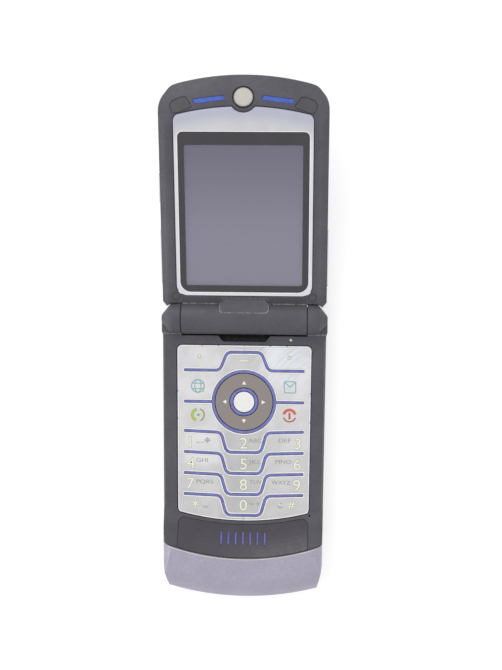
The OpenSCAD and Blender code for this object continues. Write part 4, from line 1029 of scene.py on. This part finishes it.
def make_bezel_rim():
    """The bezel's edges: thin and polished round the display window, dark where it meets the housing."""
    sheet = Sheet("bezel_rim", rim_metal("bezel_edge", (0.86, 0.86, 0.84)),
                  rim_metal("bezel_outer_edge", (0.05, 0.045, 0.09), 0.5))

    def round_window(a, b):
        middle = (a + b) / 2
        along = (middle - AXIS).dot(FLIP_ALONG)
        return abs(middle.x) < BEZEL_HALF and BEZEL_SPAN[0] < along < BEZEL_SPAN[1]
    for loop in face_loops("display_bezel", FLIP_OUT, 0.7):
        sheet.band(loop, 0.0, 0.26, (0.003, 0.012), 0, round_window)
        sheet.band(loop, 0.0, 0.2, (0.004, 0.008), 1, lambda a, b: not round_window(a, b))
    sheet.done("flip", "silver_metal")


CREST_RISE = 4.2  # the crest is higher than this over the base's face


def make_crest_line():
    """The pale worn line along the chin's crest."""
    sheet = Sheet("chin_crest_line", plain_plastic("crest_paint", CREAM, 0.4, vary=0.1))

    def on_crest(a, b):
        return a.x - b.x > 0.5 * abs(b.y - a.y) and min(a.z, b.z) > FACE_Z + CREST_RISE
    for loop in face_loops("chin_cover", Vector((0, 0, 1)), 0.85):
        sheet.band(loop, 0.0, 0.2, (0.002, 0.005), 0, on_crest)
    sheet.done("base", "lavender_paint")


EDGE_DROP = 0.6  # how deep a wedge is along the housing's side
EDGE_LIFT = 0.004  # keeps a wedge clear of what it covers


def make_side_edges():
    """The base's long upper edges, as closed wedges over its front chamfer.

    They also hide a fault of the CAD solid, which keeps a skin without thickness over that chamfer.
    """
    # painted light: the wedges' paint is paler than the shell, as if the chamfer caught more light
    paint = plain_plastic("shell_edge", (0.128, 0.125, 0.135), 0.5, specular=0.3, vary=0.12)
    sheet = Sheet("base_side_edges", paint)
    for loop in face_loops("front_housing", Vector((0, 0, -1))):
        skin = sorted((point for point, _ in loop), key=lambda point: abs(point.x))
        if len(skin) != 4 or any(abs(point.z - FACE_Z) > 0.01 for point in skin):
            continue
        skin = [point + Vector((0, 0, EDGE_LIFT)) for point in skin]
        (a, b), (c, d) = (sorted(pair, key=lambda point: point.y) for pair in (skin[:2], skin[2:]))
        e, g = (point - Vector((0, 0, EDGE_DROP)) for point in (c, d))
        for corners in ((a, c, d, b), (c, e, g, d), (e, a, b, g), (e, c, a), (b, d, g)):
            sheet.face(corners[::1 if a.x > 0 else -1])
    sheet.done("base", "dark_shell")


# ---- small modelled pieces ----

def turned(name, profile, centre, material, body, slot, along=Vector((0, 0, 1)), steps=32):
    """A turned piece: profile points (radius, height) swept round an axis through centre."""
    mesh = bmesh.new()
    rings = []
    for radius, height in profile:
        turns = (math.tau * i / steps for i in range(steps if radius else 1))
        rings.append([mesh.verts.new(Vector((radius * math.cos(a), radius * math.sin(a), height)) * MM)
                      for a in turns])
    for a, b in zip(rings, rings[1:]):
        for i in range(steps):
            j = (i + 1) % steps
            corners = {id(v): v for v in (a[i % len(a)], a[j % len(a)], b[j % len(b)], b[i % len(b)])}
            if len(corners) > 2:
                mesh.faces.new(list(corners.values()))
    data = mesh_data(name, mesh)
    for face in data.polygons:
        face.use_smooth = True
    turn = along.to_track_quat("Z", "Y").to_matrix().to_4x4()
    data.transform(Matrix.Translation(Vector(centre) * MM) @ turn)
    add_piece(name, data, [material], body, slot)


LED = (15.1, 37.45)  # the signal light, between the keypad and the hinge


def make_led():
    """The clear lens of the signal light above the keypad."""
    lens = plain_plastic("signal_lens", (0.74, 0.72, 0.60), 0.25, vary=0.04)
    profile = [(0, -0.7), (0.44, -0.7), (0.45, -0.05), (0.38, 0.05), (0.2, 0.1), (0, 0.11)]
    turned("signal_lens", profile, (*LED, FACE_Z), lens, "base", "white_button")


def make_lens_mount(finishes):
    """The camera's stepped black mount, with a thin rim round its small domed glass."""
    spots = [v.co / MM for v in NODES["camera_lens"].data.vertices]
    left, right = (pick(spots, key=lambda spot: spot.x) for pick in (min, max))
    middle, half = (left + right) / 2, (right.x - left.x) / 2
    foot = middle - FLIP_OUT * (max(-spot.dot(FLIP_OUT) for spot in spots) + middle.dot(FLIP_OUT))

    def part(name, material, slot, profile):
        """A turned part, with its radii as shares of the lens's."""
        turned("camera_lens_" + name, [(half * share, lift) for share, lift in profile], foot, material,
               "flip", slot, along=-FLIP_OUT, steps=48)
    part("mount", plain_plastic("lens_mount", (0.030, 0.030, 0.034), 0.45, specular=0.3), "lens_glass",
         [(0.98, -0.02), (0.98, 0.02), (0.62, 0.02), (0.55, 0.005), (0.55, -0.02), (0.98, -0.02)])
    part("rim", rim_metal("lens_mount_rim", (0.34, 0.34, 0.36), 0.3), "bright_steel",
         [(0.62, 0.0), (0.62, 0.03), (0.57, 0.03), (0.55, 0.0), (0.62, 0.0)])
    part("dome", finishes["lens_glass"], "lens_glass",
         [(0.0, -0.02), (0.54, -0.02), (0.54, 0.0), (0.46, 0.06), (0.34, 0.11), (0.18, 0.14), (0.0, 0.15)])


# ---- setting ----

FLOOR_HALF = 6  # metres
FLOOR_Z = -0.00005  # metres, just under the object
FLOOR_GLOW = 0.62  # brings the floor up to white
AMBIENT = 0.86  # the light of the surroundings, shown as 1


def make_floor():
    """A pale floor that shows white and keeps the object's soft shadow."""
    data = bpy.data.meshes.new("floor")
    corners = ((-1, -1), (1, -1), (1, 1), (-1, 1))
    data.from_pydata([(FLOOR_HALF * x, FLOOR_HALF * y, FLOOR_Z) for x, y in corners], [], [(0, 1, 2, 3)])
    floor = add_object("floor", data)
    material = bpy.data.materials.new("floor")
    material.use_nodes = True
    tree = material.node_tree
    tree.nodes.clear()
    lit, plain = (add_node(tree, "BsdfDiffuse", {"Color": (grey, grey, grey, 1)}).outputs[0]
                  for grey in (0.5, 0.8))
    glow = add_node(tree, "Emission", {"Strength": FLOOR_GLOW}).outputs[0]
    both = add_node(tree, "AddShader", {0: lit, 1: glow}).outputs[0]
    choose = add_node(tree, "MixShader", {0: seen_directly(tree), 1: plain, 2: both})
    add_node(tree, "OutputMaterial", {0: choose.outputs[0]})
    data.materials.append(material)


def seen_directly(tree):
    """1 for camera, glossy and transmission rays."""
    path = add_node(tree, "LightPath")
    most = path.outputs["Is Camera Ray"]
    for name in ("Is Glossy Ray", "Is Transmission Ray"):
        given = {0: most, 1: path.outputs[name]}
        most = add_node(tree, "Math", given, operation="MAXIMUM").outputs[0]
    return most


def make_world():
    """White surroundings, which light the object a little less than they show."""
    world = bpy.data.worlds.new("studio")
    bpy.context.scene.world = world
    world.use_nodes = True
    tree = world.node_tree
    tree.nodes.clear()
    given = {"Value": seen_directly(tree), "To Min": AMBIENT, "To Max": 1.0}
    strength = add_node(tree, "MapRange", given).outputs["Result"]
    sky = add_node(tree, "Background", {"Color": (1, 1, 1, 1), "Strength": strength})
    add_node(tree, "OutputWorld", {0: sky.outputs[0]})


LAMPS = [  # name, place in metres, side in metres, watts
    ("key_lamp", (-0.35, 1.0, 0.66), 0.6, 4.0),
    ("fill_lamp", (-1.0, -0.1, 0.5), 0.6, 1.8),
]


def make_lamps():
    for name, place, side, power in LAMPS:
        lamp = bpy.data.lights.new(name, "AREA")
        lamp.size = side
        lamp.energy = power
        obj = add_object(name, lamp)
        obj.location = place
        obj.rotation_euler = (-Vector(place)).to_track_quat("-Z", "Y").to_euler()


make_camera()
finishes = make_finishes()
dress_nodes(finishes)
make_key_rims(finishes)
make_bezel_rim()
make_crest_line()
make_side_edges()
make_legends()
make_arrows()
make_led()
make_lens_mount(finishes)
make_floor()
make_world()
make_lamps()
bpy.context.scene.view_settings.view_transform = "Standard"
